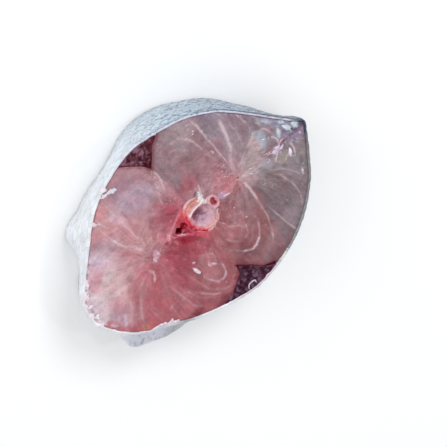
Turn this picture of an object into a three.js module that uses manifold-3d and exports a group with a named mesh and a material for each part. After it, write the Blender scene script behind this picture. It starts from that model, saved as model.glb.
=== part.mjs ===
// A raw barracuda steak: one slice cut across the tail half of the fish, lying on its hidden cut face.
// Millimetres, +Z up out of the cut face that shows, +Y towards the back fin, -X towards the fish's left flank.
// The backbone's axis is at X = Y = 0 while the pieces are made; the finished group is then moved so that
// its origin is the middle of its bounding box, on the surface that it lies on.
import * as THREE from "three";
import { mergeVertices } from "three/addons/utils/BufferGeometryUtils.js";
import Module from "manifold-3d";

// ---- Driving sizes, mm ----
const THICKNESS = 30; // between the two cuts
const SKIN = 1.0; // skin and scales
const GAP = 0.3; // between two pieces that touch
const SKIN_FOOT = 0.3; // the skin ends this far above the lower cut
const SKIN_RIM = 0.4; // and this far below the upper one
const BONE_PROUD = 0.3; // bone left standing by the knife
const THROUGH = 4; // how far a cutting tool runs past both faces

// Mesh sizes
const AROUND = 96; // steps round the steak
const WALL_STEPS = 8; // steps up its side
const FACE_RINGS = 16; // rings across the upper cut
const FOOT_RINGS = 4; // rings across the lower one
const EDGE_SAMPLES = 720; // steps at which the outline's radius is worked out

// The skin's outer edge at the upper cut, seen from above, from the back fin's ridge round the left flank.
const EDGE = [
  [-0.9, 57.9], // back fin's ridge
  [-4.6, 54.7],
  [-10, 50.1],
  [-19, 42.7],
  [-31, 31.4], // left shoulder
  [-38, 19.4],
  [-41.8, 6],
  [-43.5, -7], // left lateral line
  [-40.8, -20],
  [-35, -33.5],
  [-24, -47], // left belly
  [-14, -57.7],
  [-7, -63.6],
  [2, -65.4], // belly ridge
  [11, -62],
  [21.3, -53],
  [25.6, -44.5], // right belly
  [34, -29.5],
  [39.5, -13],
  [41.2, -2], // right lateral line
  [39, 14.5],
  [32.5, 30], // right shoulder
  [21.3, 43.8],
  [10, 51.9],
  [3.6, 55.9],
];

// Where the side swells or draws in between the cuts. At: degrees round from +X. Spread: half its width in
// degrees. Reach: mm outwards. Level: its height as a share of the thickness, with its share above and below.
const SWELLS = [
  { name: "left flank draws in", at: 206, spread: 38, reach: -4.8, level: 0, above: 0.8, below: 1 },
  { name: "left belly corner", at: 241, spread: 11, reach: 3.4, level: 0.1, above: 0.7, below: 1 },
  { name: "belly ridge draws in", at: 259, spread: 18, reach: -6, level: 0, above: 1, below: 1 },
  { name: "loose skin of the right belly", at: 300, spread: 20, reach: 8.2, level: 0.7, above: 0.3, below: 0.95 },
  { name: "its hanging tip", at: 291, spread: 9, reach: 3, level: 0.7, above: 0.3, below: 0.95 },
  { name: "left side", at: 164, spread: 36, reach: 1.8, level: 0.15, above: 0.8, below: 1 },
  { name: "left shoulder", at: 128, spread: 20, reach: 1.2, level: 0.1, above: 0.8, below: 1 },
  { name: "back ridge draws in", at: 96, spread: 13, reach: -4.8, level: 0, above: 1, below: 1 },
];
const ROUNDNESS = 0.8; // how far the side bows out at mid height

// ---- Muscle of the cut face ----
// The four main muscle cones, with the height to which the flesh swells over each.
const CONES = [
  { name: "upper left", x: -22, y: 8, radius: 15, rise: 0.7 },
  { name: "upper right", x: 17, y: 7, radius: 14, rise: 0.9 },
  { name: "lower right", x: 18, y: -13, radius: 12, rise: 1.1 },
  { name: "lower left", x: -22, y: -15, radius: 13, rise: 0.7 },
  { name: "back fin", x: -6, y: 34, radius: 9, rise: 0.5 },
  { name: "right back", x: 18, y: 31, radius: 12, rise: 0.5 },
];
// Seams where the knife's face sinks between two muscles, each from one point to another.
const SEAMS = [
  { name: "left side seam", from: [-9, -3], to: [-30, -4.7], half: 4.5, depth: 0.7 },
  { name: "right side seam", from: [7, -3], to: [27, -4.6], half: 4.5, depth: 0.8 },
  { name: "belly seam", from: [-1.5, -28], to: [-1, -62], half: 5, depth: 0.6 },
  { name: "back seam", from: [-1.5, 20], to: [-1, 54], half: 4.5, depth: 0.5 },
  { name: "left back seam", from: [-3, 20], to: [-37, 21], half: 4.5, depth: 0.4 },
  { name: "right back seam", from: [0, 20.5], to: [34, 24], half: 4.5, depth: 0.4 },
];

// ---- Dark muscle under the lateral lines: a wedge from the skin to a point, on each side ----
const DARK_LEFT = [
  [-30.5, -4.7], // point
  [-33.6, -1.6],
  [-37.4, 1.6],
  [-40.2, 6.5],
  [-48, 6.5], // past the skin
  [-48, -15.5],
  [-41, -15],
  [-37.8, -11],
  [-34, -6.9],
];
const DARK_RIGHT = [
  [27, -4.6], // point
  [30.6, -6.2],
  [33.6, -11],
  [35.6, -15],
  [36, -21],
  [48, -21], // past the skin
  [48, 10],
  [37.4, 9.5],
  [35.2, 3.8],
  [31, 0.4],
];

// ---- Backbone ----
const CENTRUM = { x: -1.6, y: -2.4, rx: 8.5, ry: 7.2 };
const CUP = { x: 0, y: -1.4, rx: 5.2, ry: 5.7, tip: 0.12, depth: 4.6 }; // hollow cone in each end of the centrum
const SIDE_PIT = { x: -7.5, y: -2.8, rx: 1.7, ry: 4.4, depth: 1.8 }; // crescent pit beside the cup
const NEURAL_ARCH = { x: -2.2, y: 5.6, r: 3.5 };
const NEURAL_CANAL = { x: -2.2, y: 5.9, r: 1.8 };
const NEURAL_SPINE = [
  [-5, 7],
  [0.8, 7],
  [0.3, 13.4],
  [-0.9, 16],
  [-0.9, 21],
  [-3, 21],
  [-2.9, 15],
  [-3.6, 11.5],
];
const HEMAL_ARCH = { x: -2.9, y: -11.6, rx: 3.1, ry: 5.4 };
const HEMAL_CANALS = [
  { x: -3.4, y: -10.9, r: 1.5 },
  { x: -2.8, y: -13.2, r: 1.6 },
];
const HEMAL_SPINE = [
  [-4.6, -15],
  [-1.2, -15],
  [-1.4, -20],
  [-0.2, -28],
  [-1.9, -28.6],
  [-3.9, -21],
];
const CORD_SUNK = 0.8; // spinal cord below the face
const CLOT_SUNK = 3.5; // clotted blood below the face
const CANAL_STEPS = 16; // sides of a canal

// ---- Small pieces of the face ----
const FIN_BONE = [
  [-0.4, 35.5],
  [0.8, 41],
  [0.7, 46],
  [1.0, 49],
  [-0.3, 50.6],
  [-1.8, 50.9],
  [-2.6, 47.8],
  [-2.0, 44],
  [-2.2, 39],
];
const CURL = { thick: 0.7, path: [[38.6, -7.0], [37.3, -6.0], [36.9, -4.4], [37.5, -2.9], [38.5, -3.1]] };
const CURL_SUNK = 0.25; // the curl's underside, above the dark muscle by this much

// ---- Helpers ----
const wasm = await Module();
wasm.setup();

function solidOf(geometry) {
  const bare = geometry.clone();
  bare.deleteAttribute("normal");
  bare.deleteAttribute("uv");
  const merged = mergeVertices(bare, 1e-4);
  return new wasm.Manifold(
    new wasm.Mesh({
      numProp: 3,
      vertProperties: new Float32Array(merged.attributes.position.array),
      triVerts: new Uint32Array(merged.index.array),
    }),
  );
}

function geometryOf(solid) {
  const mesh = solid.getMesh();
  const indexed = new THREE.BufferGeometry()
    .setAttribute("position", new THREE.BufferAttribute(mesh.vertProperties, mesh.numProp))
    .setIndex(new THREE.BufferAttribute(mesh.triVerts, 1));
  const flat = indexed.toNonIndexed();
  flat.computeVertexNormals();
  return flat;
}

// 1 at zero, falling smoothly to 0 at plus or minus one.
function bell(t) {
  return Math.abs(t) < 1 ? Math.cos((t * Math.PI) / 2) ** 2 : 0;
}

// An upright prism or cone of elliptical section, between two heights.
function ellipsePrism({ x, y, rx, ry }, low, high, { steps = 36, foot = 1 } = {}) {
  const geometry = new THREE.CylinderGeometry(1, foot, high - low, steps, 1);
  geometry.rotateX(Math.PI / 2);
  geometry.scale(rx, ry, 1);
  geometry.translate(x, y, (low + high) / 2);
  return solidOf(geometry);
}

// An upright prism of a smooth or straight outline, grown sideways by a margin.
function outlinePrism(points, low, high, { margin = 0, smooth = false } = {}) {
  const corners = points.map(([x, y]) => new THREE.Vector2(x, y));
  const shape = new THREE.Shape();
  if (smooth) {
    const ring = new THREE.CatmullRomCurve3(corners.map((p) => new THREE.Vector3(p.x, p.y, 0)), true);
    shape.setFromPoints(ring.getPoints(points.length * 3).slice(0, -1).map((p) => new THREE.Vector2(p.x, p.y)));
  } else {
    shape.setFromPoints(corners);
  }
  const lip = 0.05;
  const geometry = new THREE.ExtrudeGeometry(shape, {
    depth: high - low - (margin ? 2 * lip : 0),
    bevelEnabled: margin > 0,
    bevelSize: margin,
    bevelThickness: lip,
    bevelSegments: 1,
  });
  geometry.translate(0, 0, low + (margin ? lip : 0));
  return solidOf(geometry);
}

// ---- The steak's outline as a radius about the backbone ----
function radiusTable() {
  const ring = new THREE.CatmullRomCurve3(EDGE.map(([x, y]) => new THREE.Vector3(x, y, 0)), true, "centripetal");
  const polar = ring.getPoints(EDGE_SAMPLES * 2).map((p) => ({
    angle: (Math.atan2(p.y, p.x) + 2 * Math.PI) % (2 * Math.PI),
    radius: Math.hypot(p.x, p.y),
  }));
  polar.sort((a, b) => a.angle - b.angle);
  const table = [];
  for (let i = 0, k = 0; i < EDGE_SAMPLES; i++) {
    const angle = (i * 2 * Math.PI) / EDGE_SAMPLES;
    while (k < polar.length - 1 && polar[k + 1].angle < angle) k++;
    table.push(polar[k].radius);
  }
  return table;
}

const RADII = radiusTable();

function edgeRadius(angle) {
  const at = ((((angle / (2 * Math.PI)) % 1) + 1) % 1) * EDGE_SAMPLES;
  const low = Math.floor(at) % EDGE_SAMPLES;
  return THREE.MathUtils.lerp(RADII[low], RADII[(low + 1) % EDGE_SAMPLES], at - Math.floor(at));
}

// The side's radius at an angle and a height, with the swells, for a surface a distance inside the skin's outside.
function sideRadius(angle, z, inset) {
  const share = z / THICKNESS;
  let radius = edgeRadius(angle) + ROUNDNESS * Math.sin(Math.PI * share);
  for (const swell of SWELLS) {
    const turn = THREE.MathUtils.euclideanModulo(THREE.MathUtils.radToDeg(angle) - swell.at + 180, 360) - 180;
    const rise = share - swell.level;
    radius += swell.reach * bell(turn / swell.spread) * bell(rise / (rise > 0 ? swell.above : swell.below));
  }
  const step = 0.03;
  const slope = (edgeRadius(angle + step) - edgeRadius(angle - step)) / (2 * step * radius);
  return radius - inset * Math.hypot(1, slope);
}

// The upper cut's relief: swollen muscle, sunk seams and the knife's slight waves.
function faceHeight(x, y) {
  let height = THICKNESS + 0.15 * Math.sin(x * 0.21 + y * 0.13) + 0.1 * Math.sin(y * 0.37 - x * 0.11);
  for (const cone of CONES) {
    height += cone.rise * bell(Math.hypot(x - cone.x, y - cone.y) / cone.radius);
  }
  for (const seam of SEAMS) {
    const along = new THREE.Line3(new THREE.Vector3(...seam.from, 0), new THREE.Vector3(...seam.to, 0));
    const near = along.closestPointToPoint(new THREE.Vector3(x, y, 0), true, new THREE.Vector3());
    height -= seam.depth * bell(near.distanceTo(new THREE.Vector3(x, y, 0)) / seam.half);
  }
  return height;
}

// ---- Pieces ----
// Turns a profile of [share of the radius, height share] into the steak's own outline at each height.
function turnedSteak(profile, place) {
  const geometry = new THREE.LatheGeometry(profile.map(([r, z]) => new THREE.Vector2(r, z)), AROUND);
  geometry.rotateX(Math.PI / 2);
  const position = geometry.attributes.position;
  for (let i = 0; i < position.count; i++) {
    const r = Math.hypot(position.getX(i), position.getY(i));
    const angle = Math.atan2(position.getY(i), position.getX(i));
    position.setXYZ(i, ...place(r, angle, position.getZ(i)));
  }
  return solidOf(geometry);
}

// All of the flesh inside the skin, before the other pieces are cut out of it.
function wholeFlesh() {
  const inset = SKIN + GAP;
  const profile = [[0, 0]];
  for (let i = 1; i <= FOOT_RINGS; i++) profile.push([i / FOOT_RINGS, 0]);
  for (let i = 1; i < WALL_STEPS; i++) profile.push([1, i / WALL_STEPS]);
  for (let i = FACE_RINGS; i > 0; i--) profile.push([i / FACE_RINGS, 1]);
  profile.push([0, 1]);
  return turnedSteak(profile, (r, angle, up) => {
    const radius = r * sideRadius(angle, up * THICKNESS, inset);
    const [x, y] = [radius * Math.cos(angle), radius * Math.sin(angle)];
    return [x, y, up === 1 ? faceHeight(x, y) : up * THICKNESS];
  });
}

// The skin: a band round the side, between its outside and the flesh's side of it.
function skinBand() {
  const outside = [[0, 0]];
  for (let i = 0; i <= WALL_STEPS; i++) outside.push([1, i / WALL_STEPS]);
  outside.push([0, 1]);
  const band = turnedSteak(outside, (r, angle, up) => {
    const top = THICKNESS - SKIN_RIM + 0.25 * Math.sin(5 * angle) + 0.2 * Math.sin(13 * angle + 1);
    const z = r ? THREE.MathUtils.clamp(up * THICKNESS, SKIN_FOOT, top) : up * THICKNESS;
    const radius = r * sideRadius(angle, z, 0);
    return [radius * Math.cos(angle), radius * Math.sin(angle), z];
  });
  const inside = [[0, -0.1], [1, -0.1], ...outside.slice(1, -1), [1, 1.1], [0, 1.1]];
  const hollow = turnedSteak(inside, (r, angle, up) => {
    const radius = r * sideRadius(angle, THREE.MathUtils.clamp(up, 0, 1) * THICKNESS, SKIN);
    return [radius * Math.cos(angle), radius * Math.sin(angle), up * THICKNESS];
  });
  return band.subtract(hollow);
}

// The backbone's outer form, grown by a margin where it cuts its own place in the flesh.
function vertebraBody(low, high, margin) {
  const grown = ({ x, y, rx, ry }) => ({ x, y, rx: rx + margin, ry: ry + margin });
  return ellipsePrism(grown(CENTRUM), low, high)
    .add(ellipsePrism(grown({ ...NEURAL_ARCH, rx: NEURAL_ARCH.r, ry: NEURAL_ARCH.r }), low, high))
    .add(ellipsePrism(grown(HEMAL_ARCH), low, high))
    .add(outlinePrism(NEURAL_SPINE, low, high, { margin }))
    .add(outlinePrism(HEMAL_SPINE, low, high, { margin }));
}

function canals(list, low, high, margin = 0) {
  return list
    .map(({ x, y, r }) => ellipsePrism({ x, y, rx: r - margin, ry: r - margin }, low, high, { steps: CANAL_STEPS }))
    .reduce((all, one) => all.add(one));
}

function vertebra() {
  const top = THICKNESS + BONE_PROUD;
  const cup = ellipsePrism(CUP, top - CUP.depth, top + 0.01, { foot: CUP.tip });
  const lowerCup = ellipsePrism(CUP, 0, CUP.depth, { foot: CUP.tip }).mirror([0, 0, 1]).translate([0, 0, CUP.depth - 0.01]);
  const pit = ellipsePrism(SIDE_PIT, top - SIDE_PIT.depth, top + 1, { foot: 0.6 });
  return vertebraBody(0, top, 0)
    .subtract(cup)
    .subtract(lowerCup)
    .subtract(pit)
    .subtract(canals([NEURAL_CANAL], -THROUGH, top + THROUGH))
    .subtract(canals(HEMAL_CANALS, -THROUGH, top + THROUGH));
}

// A curl of torn membrane that lies on the right dark muscle, at the skin.
function membraneCurl() {
  const lie = THICKNESS + CURL.thick / 2 + CURL_SUNK;
  const path = new THREE.CatmullRomCurve3(CURL.path.map(([x, y]) => new THREE.Vector3(x, y, lie)));
  const section = new THREE.Shape().absarc(0, 0, CURL.thick / 2, 0, 2 * Math.PI);
  return solidOf(new THREE.ExtrudeGeometry(section, { extrudePath: path, steps: 16, curveSegments: 8 }));
}

// ---- Assembly ----
const fleshy = wholeFlesh();
const low = -THROUGH;
const high = THICKNESS + THROUGH;
const finBone = outlinePrism(FIN_BONE, 0, THICKNESS + BONE_PROUD, { smooth: true });
const finBoneRoom = outlinePrism(FIN_BONE, low, high, { smooth: true, margin: GAP });
const flesh = fleshy
  .subtract(vertebraBody(low, high, GAP))
  .subtract(outlinePrism(DARK_LEFT, low, high, { margin: GAP }))
  .subtract(outlinePrism(DARK_RIGHT, low, high, { margin: GAP }))
  .subtract(finBoneRoom);

const MATERIALS = {
  flesh: { color: 0xb98484, roughness: 0.35 },
  skin: { color: 0xc3ccd6, roughness: 0.3, metalness: 0.25 },
  dark_muscle: { color: 0x4a2430, roughness: 0.4 },
  bone: { color: 0xdcb9b4, roughness: 0.4 },
  blood: { color: 0x5a0a10, roughness: 0.25 },
  membrane: { color: 0xd9d6de, roughness: 0.25 },
};

const steak = new THREE.Group();

function place(name, solid, finish) {
  const mesh = new THREE.Mesh(geometryOf(solid), new THREE.MeshStandardMaterial(MATERIALS[finish]));
  mesh.name = name;
  steak.add(mesh);
}

place("flesh", flesh, "flesh");
place("skin", skinBand(), "skin");
place("dark_muscle_left", fleshy.intersect(outlinePrism(DARK_LEFT, low, high)), "dark_muscle");
place("dark_muscle_right", fleshy.intersect(outlinePrism(DARK_RIGHT, low, high)), "dark_muscle");
place("vertebra", vertebra(), "bone");
place("spinal_cord", canals([NEURAL_CANAL], 0, THICKNESS - CORD_SUNK, GAP), "blood");
place("blood_clot", canals(HEMAL_CANALS, 0, THICKNESS - CLOT_SUNK, GAP), "blood");
place("fin_bone", finBone, "bone");
place("membrane_curl", membraneCurl(), "membrane");

const box = new THREE.Box3().setFromObject(steak);
steak.position.set(-(box.min.x + box.max.x) / 2, -(box.min.y + box.max.y) / 2, -box.min.z);

export default steak;
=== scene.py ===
# A raw barracuda steak, lying on one cut face with the other one up.
# Lengths are millimetres about the backbone's axis until a piece is finished, and metres after that.
import math

import bmesh
import bpy
import numpy as np
from mathutils import Matrix, Vector


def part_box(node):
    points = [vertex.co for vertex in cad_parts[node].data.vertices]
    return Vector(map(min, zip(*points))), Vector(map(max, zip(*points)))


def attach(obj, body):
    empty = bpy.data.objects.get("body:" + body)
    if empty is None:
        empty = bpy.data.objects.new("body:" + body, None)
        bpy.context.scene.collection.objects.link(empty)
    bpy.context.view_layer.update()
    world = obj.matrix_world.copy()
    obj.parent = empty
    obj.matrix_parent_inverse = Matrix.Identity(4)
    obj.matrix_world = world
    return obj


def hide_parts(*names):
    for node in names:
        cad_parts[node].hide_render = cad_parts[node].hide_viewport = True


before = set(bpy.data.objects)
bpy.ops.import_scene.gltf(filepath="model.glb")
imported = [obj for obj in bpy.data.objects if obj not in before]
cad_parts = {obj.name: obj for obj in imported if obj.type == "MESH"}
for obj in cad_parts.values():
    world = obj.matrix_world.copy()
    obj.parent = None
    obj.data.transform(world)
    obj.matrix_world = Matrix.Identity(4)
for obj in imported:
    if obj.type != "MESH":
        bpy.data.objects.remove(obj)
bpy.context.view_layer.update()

# ---- The steak's form, as in the solids ----
MM = 0.001
THICKNESS = 30
SKIN = 1.0
ROUNDNESS = 0.8
EDGE = [
    (-0.9, 57.9), (-4.6, 54.7), (-10, 50.1), (-19, 42.7), (-31, 31.4), (-38, 19.4), (-41.8, 6), (-43.5, -7),
    (-40.8, -20), (-35, -33.5), (-24, -47), (-14, -57.7), (-7, -63.6), (2, -65.4), (11, -62), (21.3, -53),
    (25.6, -44.5), (34, -29.5), (39.5, -13), (41.2, -2), (39, 14.5), (32.5, 30), (21.3, 43.8), (10, 51.9),
    (3.6, 55.9),
]
# Swellings and hollows of the side: where and how far in degrees round, reach in mm, level, and how far
# they go above and below it as parts of the thickness.
SWELLS = [
    (206, 38, -4.8, 0, 0.8, 1), (241, 11, 3.4, 0.1, 0.7, 1), (259, 18, -6, 0, 1, 1),
    (300, 20, 8.2, 0.7, 0.3, 0.95), (291, 9, 3, 0.7, 0.3, 0.95), (164, 36, 1.8, 0.15, 0.8, 1),
    (128, 20, 1.2, 0.1, 0.8, 1), (96, 13, -4.8, 0, 1, 1),
]
# Swollen muscle: x, y, radius, rise.
CONES = [
    (-22, 8, 15, 0.7), (17, 7, 14, 0.9), (18, -13, 12, 1.1), (-22, -15, 13, 0.7), (-6, 34, 9, 0.5),
    (18, 31, 12, 0.5),
]
# Sunk lines between muscles: from, to, half width, depth.
SUNK = [
    ((-9, -3), (-30, -4.7), 4.5, 0.7), ((7, -3), (27, -4.6), 4.5, 0.8), ((-1.5, -28), (-1, -62), 5, 0.6),
    ((-1.5, 20), (-1, 54), 4.5, 0.5), ((-3, 20), (-37, 21), 4.5, 0.4), ((0, 20.5), (34, 24), 4.5, 0.4),
]
DARK_LEFT = [
    (-30.5, -4.7), (-33.6, -1.6), (-37.4, 1.6), (-40.2, 6.5), (-48, 6.5), (-48, -15.5), (-41, -15),
    (-37.8, -11), (-34, -6.9),
]
DARK_RIGHT = [
    (27, -4.6), (30.6, -6.2), (33.6, -11), (35.6, -15), (36, -21), (48, -21), (48, 10), (37.4, 9.5),
    (35.2, 3.8), (31, 0.4),
]
CENTRUM = {"x": -1.6, "y": -2.4, "rx": 8.5, "ry": 7.2}
NEURAL_ARCH = {"x": -2.2, "y": 5.6, "rx": 3.5, "ry": 3.5}
HEMAL_ARCH = {"x": -2.9, "y": -11.6, "rx": 3.1, "ry": 5.4}
CUP = {"x": 0, "y": -1.4, "rx": 5.2, "ry": 5.7}
CUP_DEPTH = 4.6
NEURAL_TIP = 21  # the upper spine's end, from the axis
BONE_PROUD = 0.3

backbone_low, backbone_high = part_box("vertebra")
AXIS = Vector((
    backbone_low.x + (CENTRUM["rx"] - CENTRUM["x"]) * MM, backbone_high.y - NEURAL_TIP * MM, 0,
))


# ---- Curves, noise and falls ----
def bell(t):
    return np.where(np.abs(t) < 1, np.cos(np.clip(t, -1, 1) * math.pi / 2) ** 2, 0.0)


def ease(t):
    t = np.clip(t, 0, 1)
    return t * t * (3 - 2 * t)


def fall(away, half):
    """1 where nothing is away, and less and less beyond a half width."""
    return np.exp(-((away / half) ** 2))


def between(at, start, rise, end, drop):
    """1 between two places, with a soft start and a soft end."""
    return ease((at - start) / rise) * ease((end - at) / drop)


def degrees_off(degrees, at):
    """Degrees from a direction, from -180 to 180."""
    return (degrees - at + 180) % 360 - 180


def round_axis(turn, reach):
    return reach * np.cos(turn), reach * np.sin(turn)


def passed(a, b, start, end, at):
    """What a value has become on its way from one to another."""
    return a * (end - at) / (end - start) + b * (at - start) / (end - start)


def smooth_line(points, steps, closed=False):
    """Points along a smooth line that passes through the given ones."""
    p = [np.array(q, float) for q in points]
    p = [p[-1], *p, p[0], p[1]] if closed else [2 * p[0] - p[1], *p, 2 * p[-1] - p[-2]]
    line = []
    for a, b, c, d in zip(p, p[1:], p[2:], p[3:]):
        t1, first, last = [max(np.linalg.norm(gap), 1e-6) ** 0.5 for gap in (b - a, c - b, d - c)]
        t2 = t1 + first
        t3 = t2 + last
        for t in (t1 + (t2 - t1) * k / steps for k in range(steps)):
            ab, bc, cd = passed(a, b, 0.0, t1, t), passed(b, c, t1, t2, t), passed(c, d, t2, t3, t)
            abc, bcd = passed(ab, bc, 0.0, t2, t), passed(bc, cd, t1, t3, t)
            line.append(passed(abc, bcd, t1, t2, t))
    if not closed:
        line.append(p[-2])
    return np.array(line)


def along_and_away(x, y, a, b):
    """How far along a straight stretch each place lies, from 0 to 1, and how far away from it."""
    d = b - a
    t = np.clip(((x - a[0]) * d[0] + (y - a[1]) * d[1]) / max(d @ d, 1e-9), 0, 1)
    return t, np.hypot(x - a[0] - t * d[0], y - a[1] - t * d[1])


def away_from(x, y, points):
    """Distance of each place from a chain of straight stretches."""
    chain = np.array(points, float)
    return np.min([along_and_away(x, y, a, b)[1] for a, b in zip(chain, chain[1:])], axis=0)


def depth_inside(x, y, outline):
    """Distance inside a closed outline, negative outside."""
    ring = np.array([*outline, outline[0]], float)
    inside = np.zeros(x.shape, bool)
    for a, b in zip(ring, ring[1:]):
        crosses = (a[1] > y) != (b[1] > y)
        at = a[0] + (y - a[1]) * (b[0] - a[0]) / (b[1] - a[1] if b[1] != a[1] else 1e-9)
        inside ^= crosses & (x < at)
    away = away_from(x, y, ring)
    return np.where(inside, away, -away)


def oval(x, y, cx, cy, rx, ry, turn=0):
    """1 on an oval's edge, less inside it and more outside."""
    c, s = math.cos(math.radians(turn)), math.sin(math.radians(turn))
    return np.hypot(((x - cx) * c + (y - cy) * s) / rx, (-(x - cx) * s + (y - cy) * c) / ry)


NOISE_CELLS = 64  # the noise repeats after this many of its sizes
NOISE_SHIFT = (17.3, 23.1)  # keeps the axis off the noise's own corner


def cloud(x, y, size, seed):
    """Smooth random values from -1 to 1 that change over a size."""
    values = np.random.default_rng(seed).uniform(-1, 1, (NOISE_CELLS, NOISE_CELLS))
    u, v = x / size + NOISE_SHIFT[0], y / size + NOISE_SHIFT[1]
    i, j = np.floor(u).astype(int), np.floor(v).astype(int)
    fu, fv = ease(u - i), ease(v - j)
    i, next_i, j, next_j = (k % NOISE_CELLS for k in (i, i + 1, j, j + 1))
    low = values[i, j] * (1 - fu) + values[next_i, j] * fu
    high = values[i, next_j] * (1 - fu) + values[next_i, next_j] * fu
    return low * (1 - fv) + high * fv


def patches(x, y, size, seed, start, over):
    """Soft patches of a size, from 0 to 1, where the noise lies over a start."""
    return ease((cloud(x, y, size, seed) - start) / over)


# ---- Colours, 0 to 255 as seen on a screen ----
TINTS = {
    "mauve": (150, 130, 140),
    "grey": (130, 112, 118),
    "taupe": (152, 122, 129),
    "rust": (150, 101, 105),
    "blush": (179, 136, 144),
    "rose": (162, 96, 103),
    "salmon": (199, 147, 152),
    "brick": (174, 99, 107),
    "pale": (170, 151, 157),
    "blue grey": (163, 163, 178),
    "lilac": (184, 152, 167),
    "cream": (212, 181, 184),
    "knot": (194, 158, 164),
    "steel": (141, 136, 155),
    "wine": (122, 60, 70),
    "stain": (166, 62, 80),
    "crimson": (156, 32, 60),
    "fresh blood": (216, 42, 70),
    "old blood": (100, 6, 20),
    "bone pink": (220, 160, 166),
    "bone pale": (240, 206, 206),
    "marrow": (212, 172, 184),
    # film: the white that light makes on the wet film, used as a painted highlight
    "film": (236, 230, 238),
    "sinew": (218, 192, 198),
    "slate": (70, 76, 98),
}
FILM, DEPTH = 0.045, 0.98  # what a full wet film adds to a colour, and how far the paint is deepened


def linear(rgb):
    """A colour as seen on a screen, as light."""
    c = np.asarray(TINTS.get(rgb, rgb) if isinstance(rgb, str) else rgb, float) / 255
    return np.where(c <= 0.04045, c / 12.92, ((c + 0.055) / 1.055) ** 2.4)


def blended(colour, other, share):
    """One colour that passes over into another by a share at each place."""
    return colour * (1 - share)[:, None] + other * share[:, None]


def tinted(colour, rgb, share):
    """The colour, changed towards a tint by a share at each place."""
    return blended(colour, linear(rgb), np.clip(share, 0, 1))


def layered(colour, layers):
    """The colour, tinted by one layer after the other: tint and share at each place."""
    for rgb, share in layers:
        colour = tinted(colour, rgb, share)
    return colour


def shaded(colour, change):
    return colour * (1 + change)[:, None]


def all_over(rgb, x):
    return np.repeat(linear(rgb)[None], len(x), 0)


def film_over(colour):
    """How much of the wet film each place has, from 0.1 to 1: dark blood and dark muscle have little."""
    return np.clip(colour.min(1) / (1.3 * FILM), 0.1, 1)


def painted(colour):
    """The paint that shows a colour once the wet film lies over it."""
    return np.clip((colour - FILM * film_over(colour)[:, None]) * DEPTH, 0.002, 1)


# ---- Outlines about the backbone ----
EDGE_LINE = smooth_line(EDGE, 24, closed=True)
EDGE_TURN = np.arctan2(EDGE_LINE[:, 1], EDGE_LINE[:, 0])
EDGE_REACH = np.hypot(EDGE_LINE[:, 0], EDGE_LINE[:, 1])


def edge_radius(turn):
    turn = (turn + math.pi) % (2 * math.pi) - math.pi
    return np.interp(turn, EDGE_TURN, EDGE_REACH, period=2 * math.pi)


def side_radius(turn, z, inset):
    """The side's distance from the axis, less an inset measured square to the side."""
    share = z / THICKNESS
    radius = edge_radius(turn) + ROUNDNESS * np.sin(math.pi * np.clip(share, 0, 1))
    for at, spread, reach, level, above, below in SWELLS:
        upright = bell(np.where(share > level, (share - level) / above, (share - level) / below))
        radius = radius + reach * bell(degrees_off(np.degrees(turn), at) / spread) * upright
    step = 0.03
    slope = (edge_radius(turn + step) - edge_radius(turn - step)) / (2 * step * radius)
    return radius - inset * np.hypot(1, slope)


def far_side(turn, x, y, rx, ry):
    """How far from the axis the far side of an oval lies, or 0 where the way misses it."""
    c, s = np.cos(turn), np.sin(turn)
    a = (c / rx) ** 2 + (s / ry) ** 2
    b = -2 * (c * x / rx**2 + s * y / ry**2)
    k = (x / rx) ** 2 + (y / ry) ** 2 - 1
    inside = b * b - 4 * a * k
    reach = (-b + np.sqrt(np.maximum(inside, 0))) / (2 * a)
    return np.where((inside > 0) & (reach > 0), reach, 0)


BONE_TURNS = np.linspace(-math.pi, math.pi, 720, endpoint=False)
BONE_BLUR = fall(np.arange(-6, 7), 3)
BONE_REACHES = np.max([far_side(BONE_TURNS, **part) for part in (CENTRUM, NEURAL_ARCH, HEMAL_ARCH)], axis=0)
BONE_REACHES = sum(w * np.roll(BONE_REACHES, k - 6) for k, w in enumerate(BONE_BLUR / BONE_BLUR.sum()))


def bone_reach(turn):
    """The outline of the backbone's drum with its two arches."""
    return np.interp(turn, BONE_TURNS, BONE_REACHES, period=2 * math.pi)


def face_height(x, y):
    height = THICKNESS + 0.15 * np.sin(x * 0.21 + y * 0.13) + 0.1 * np.sin(y * 0.37 - x * 0.11)
    for cx, cy, radius, rise in CONES:
        height = height + rise * bell(np.hypot(x - cx, y - cy) / radius)
    for start, end, half, depth in SUNK:
        height = height - depth * bell(away_from(x, y, [start, end]) / half)
    return height


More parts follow.
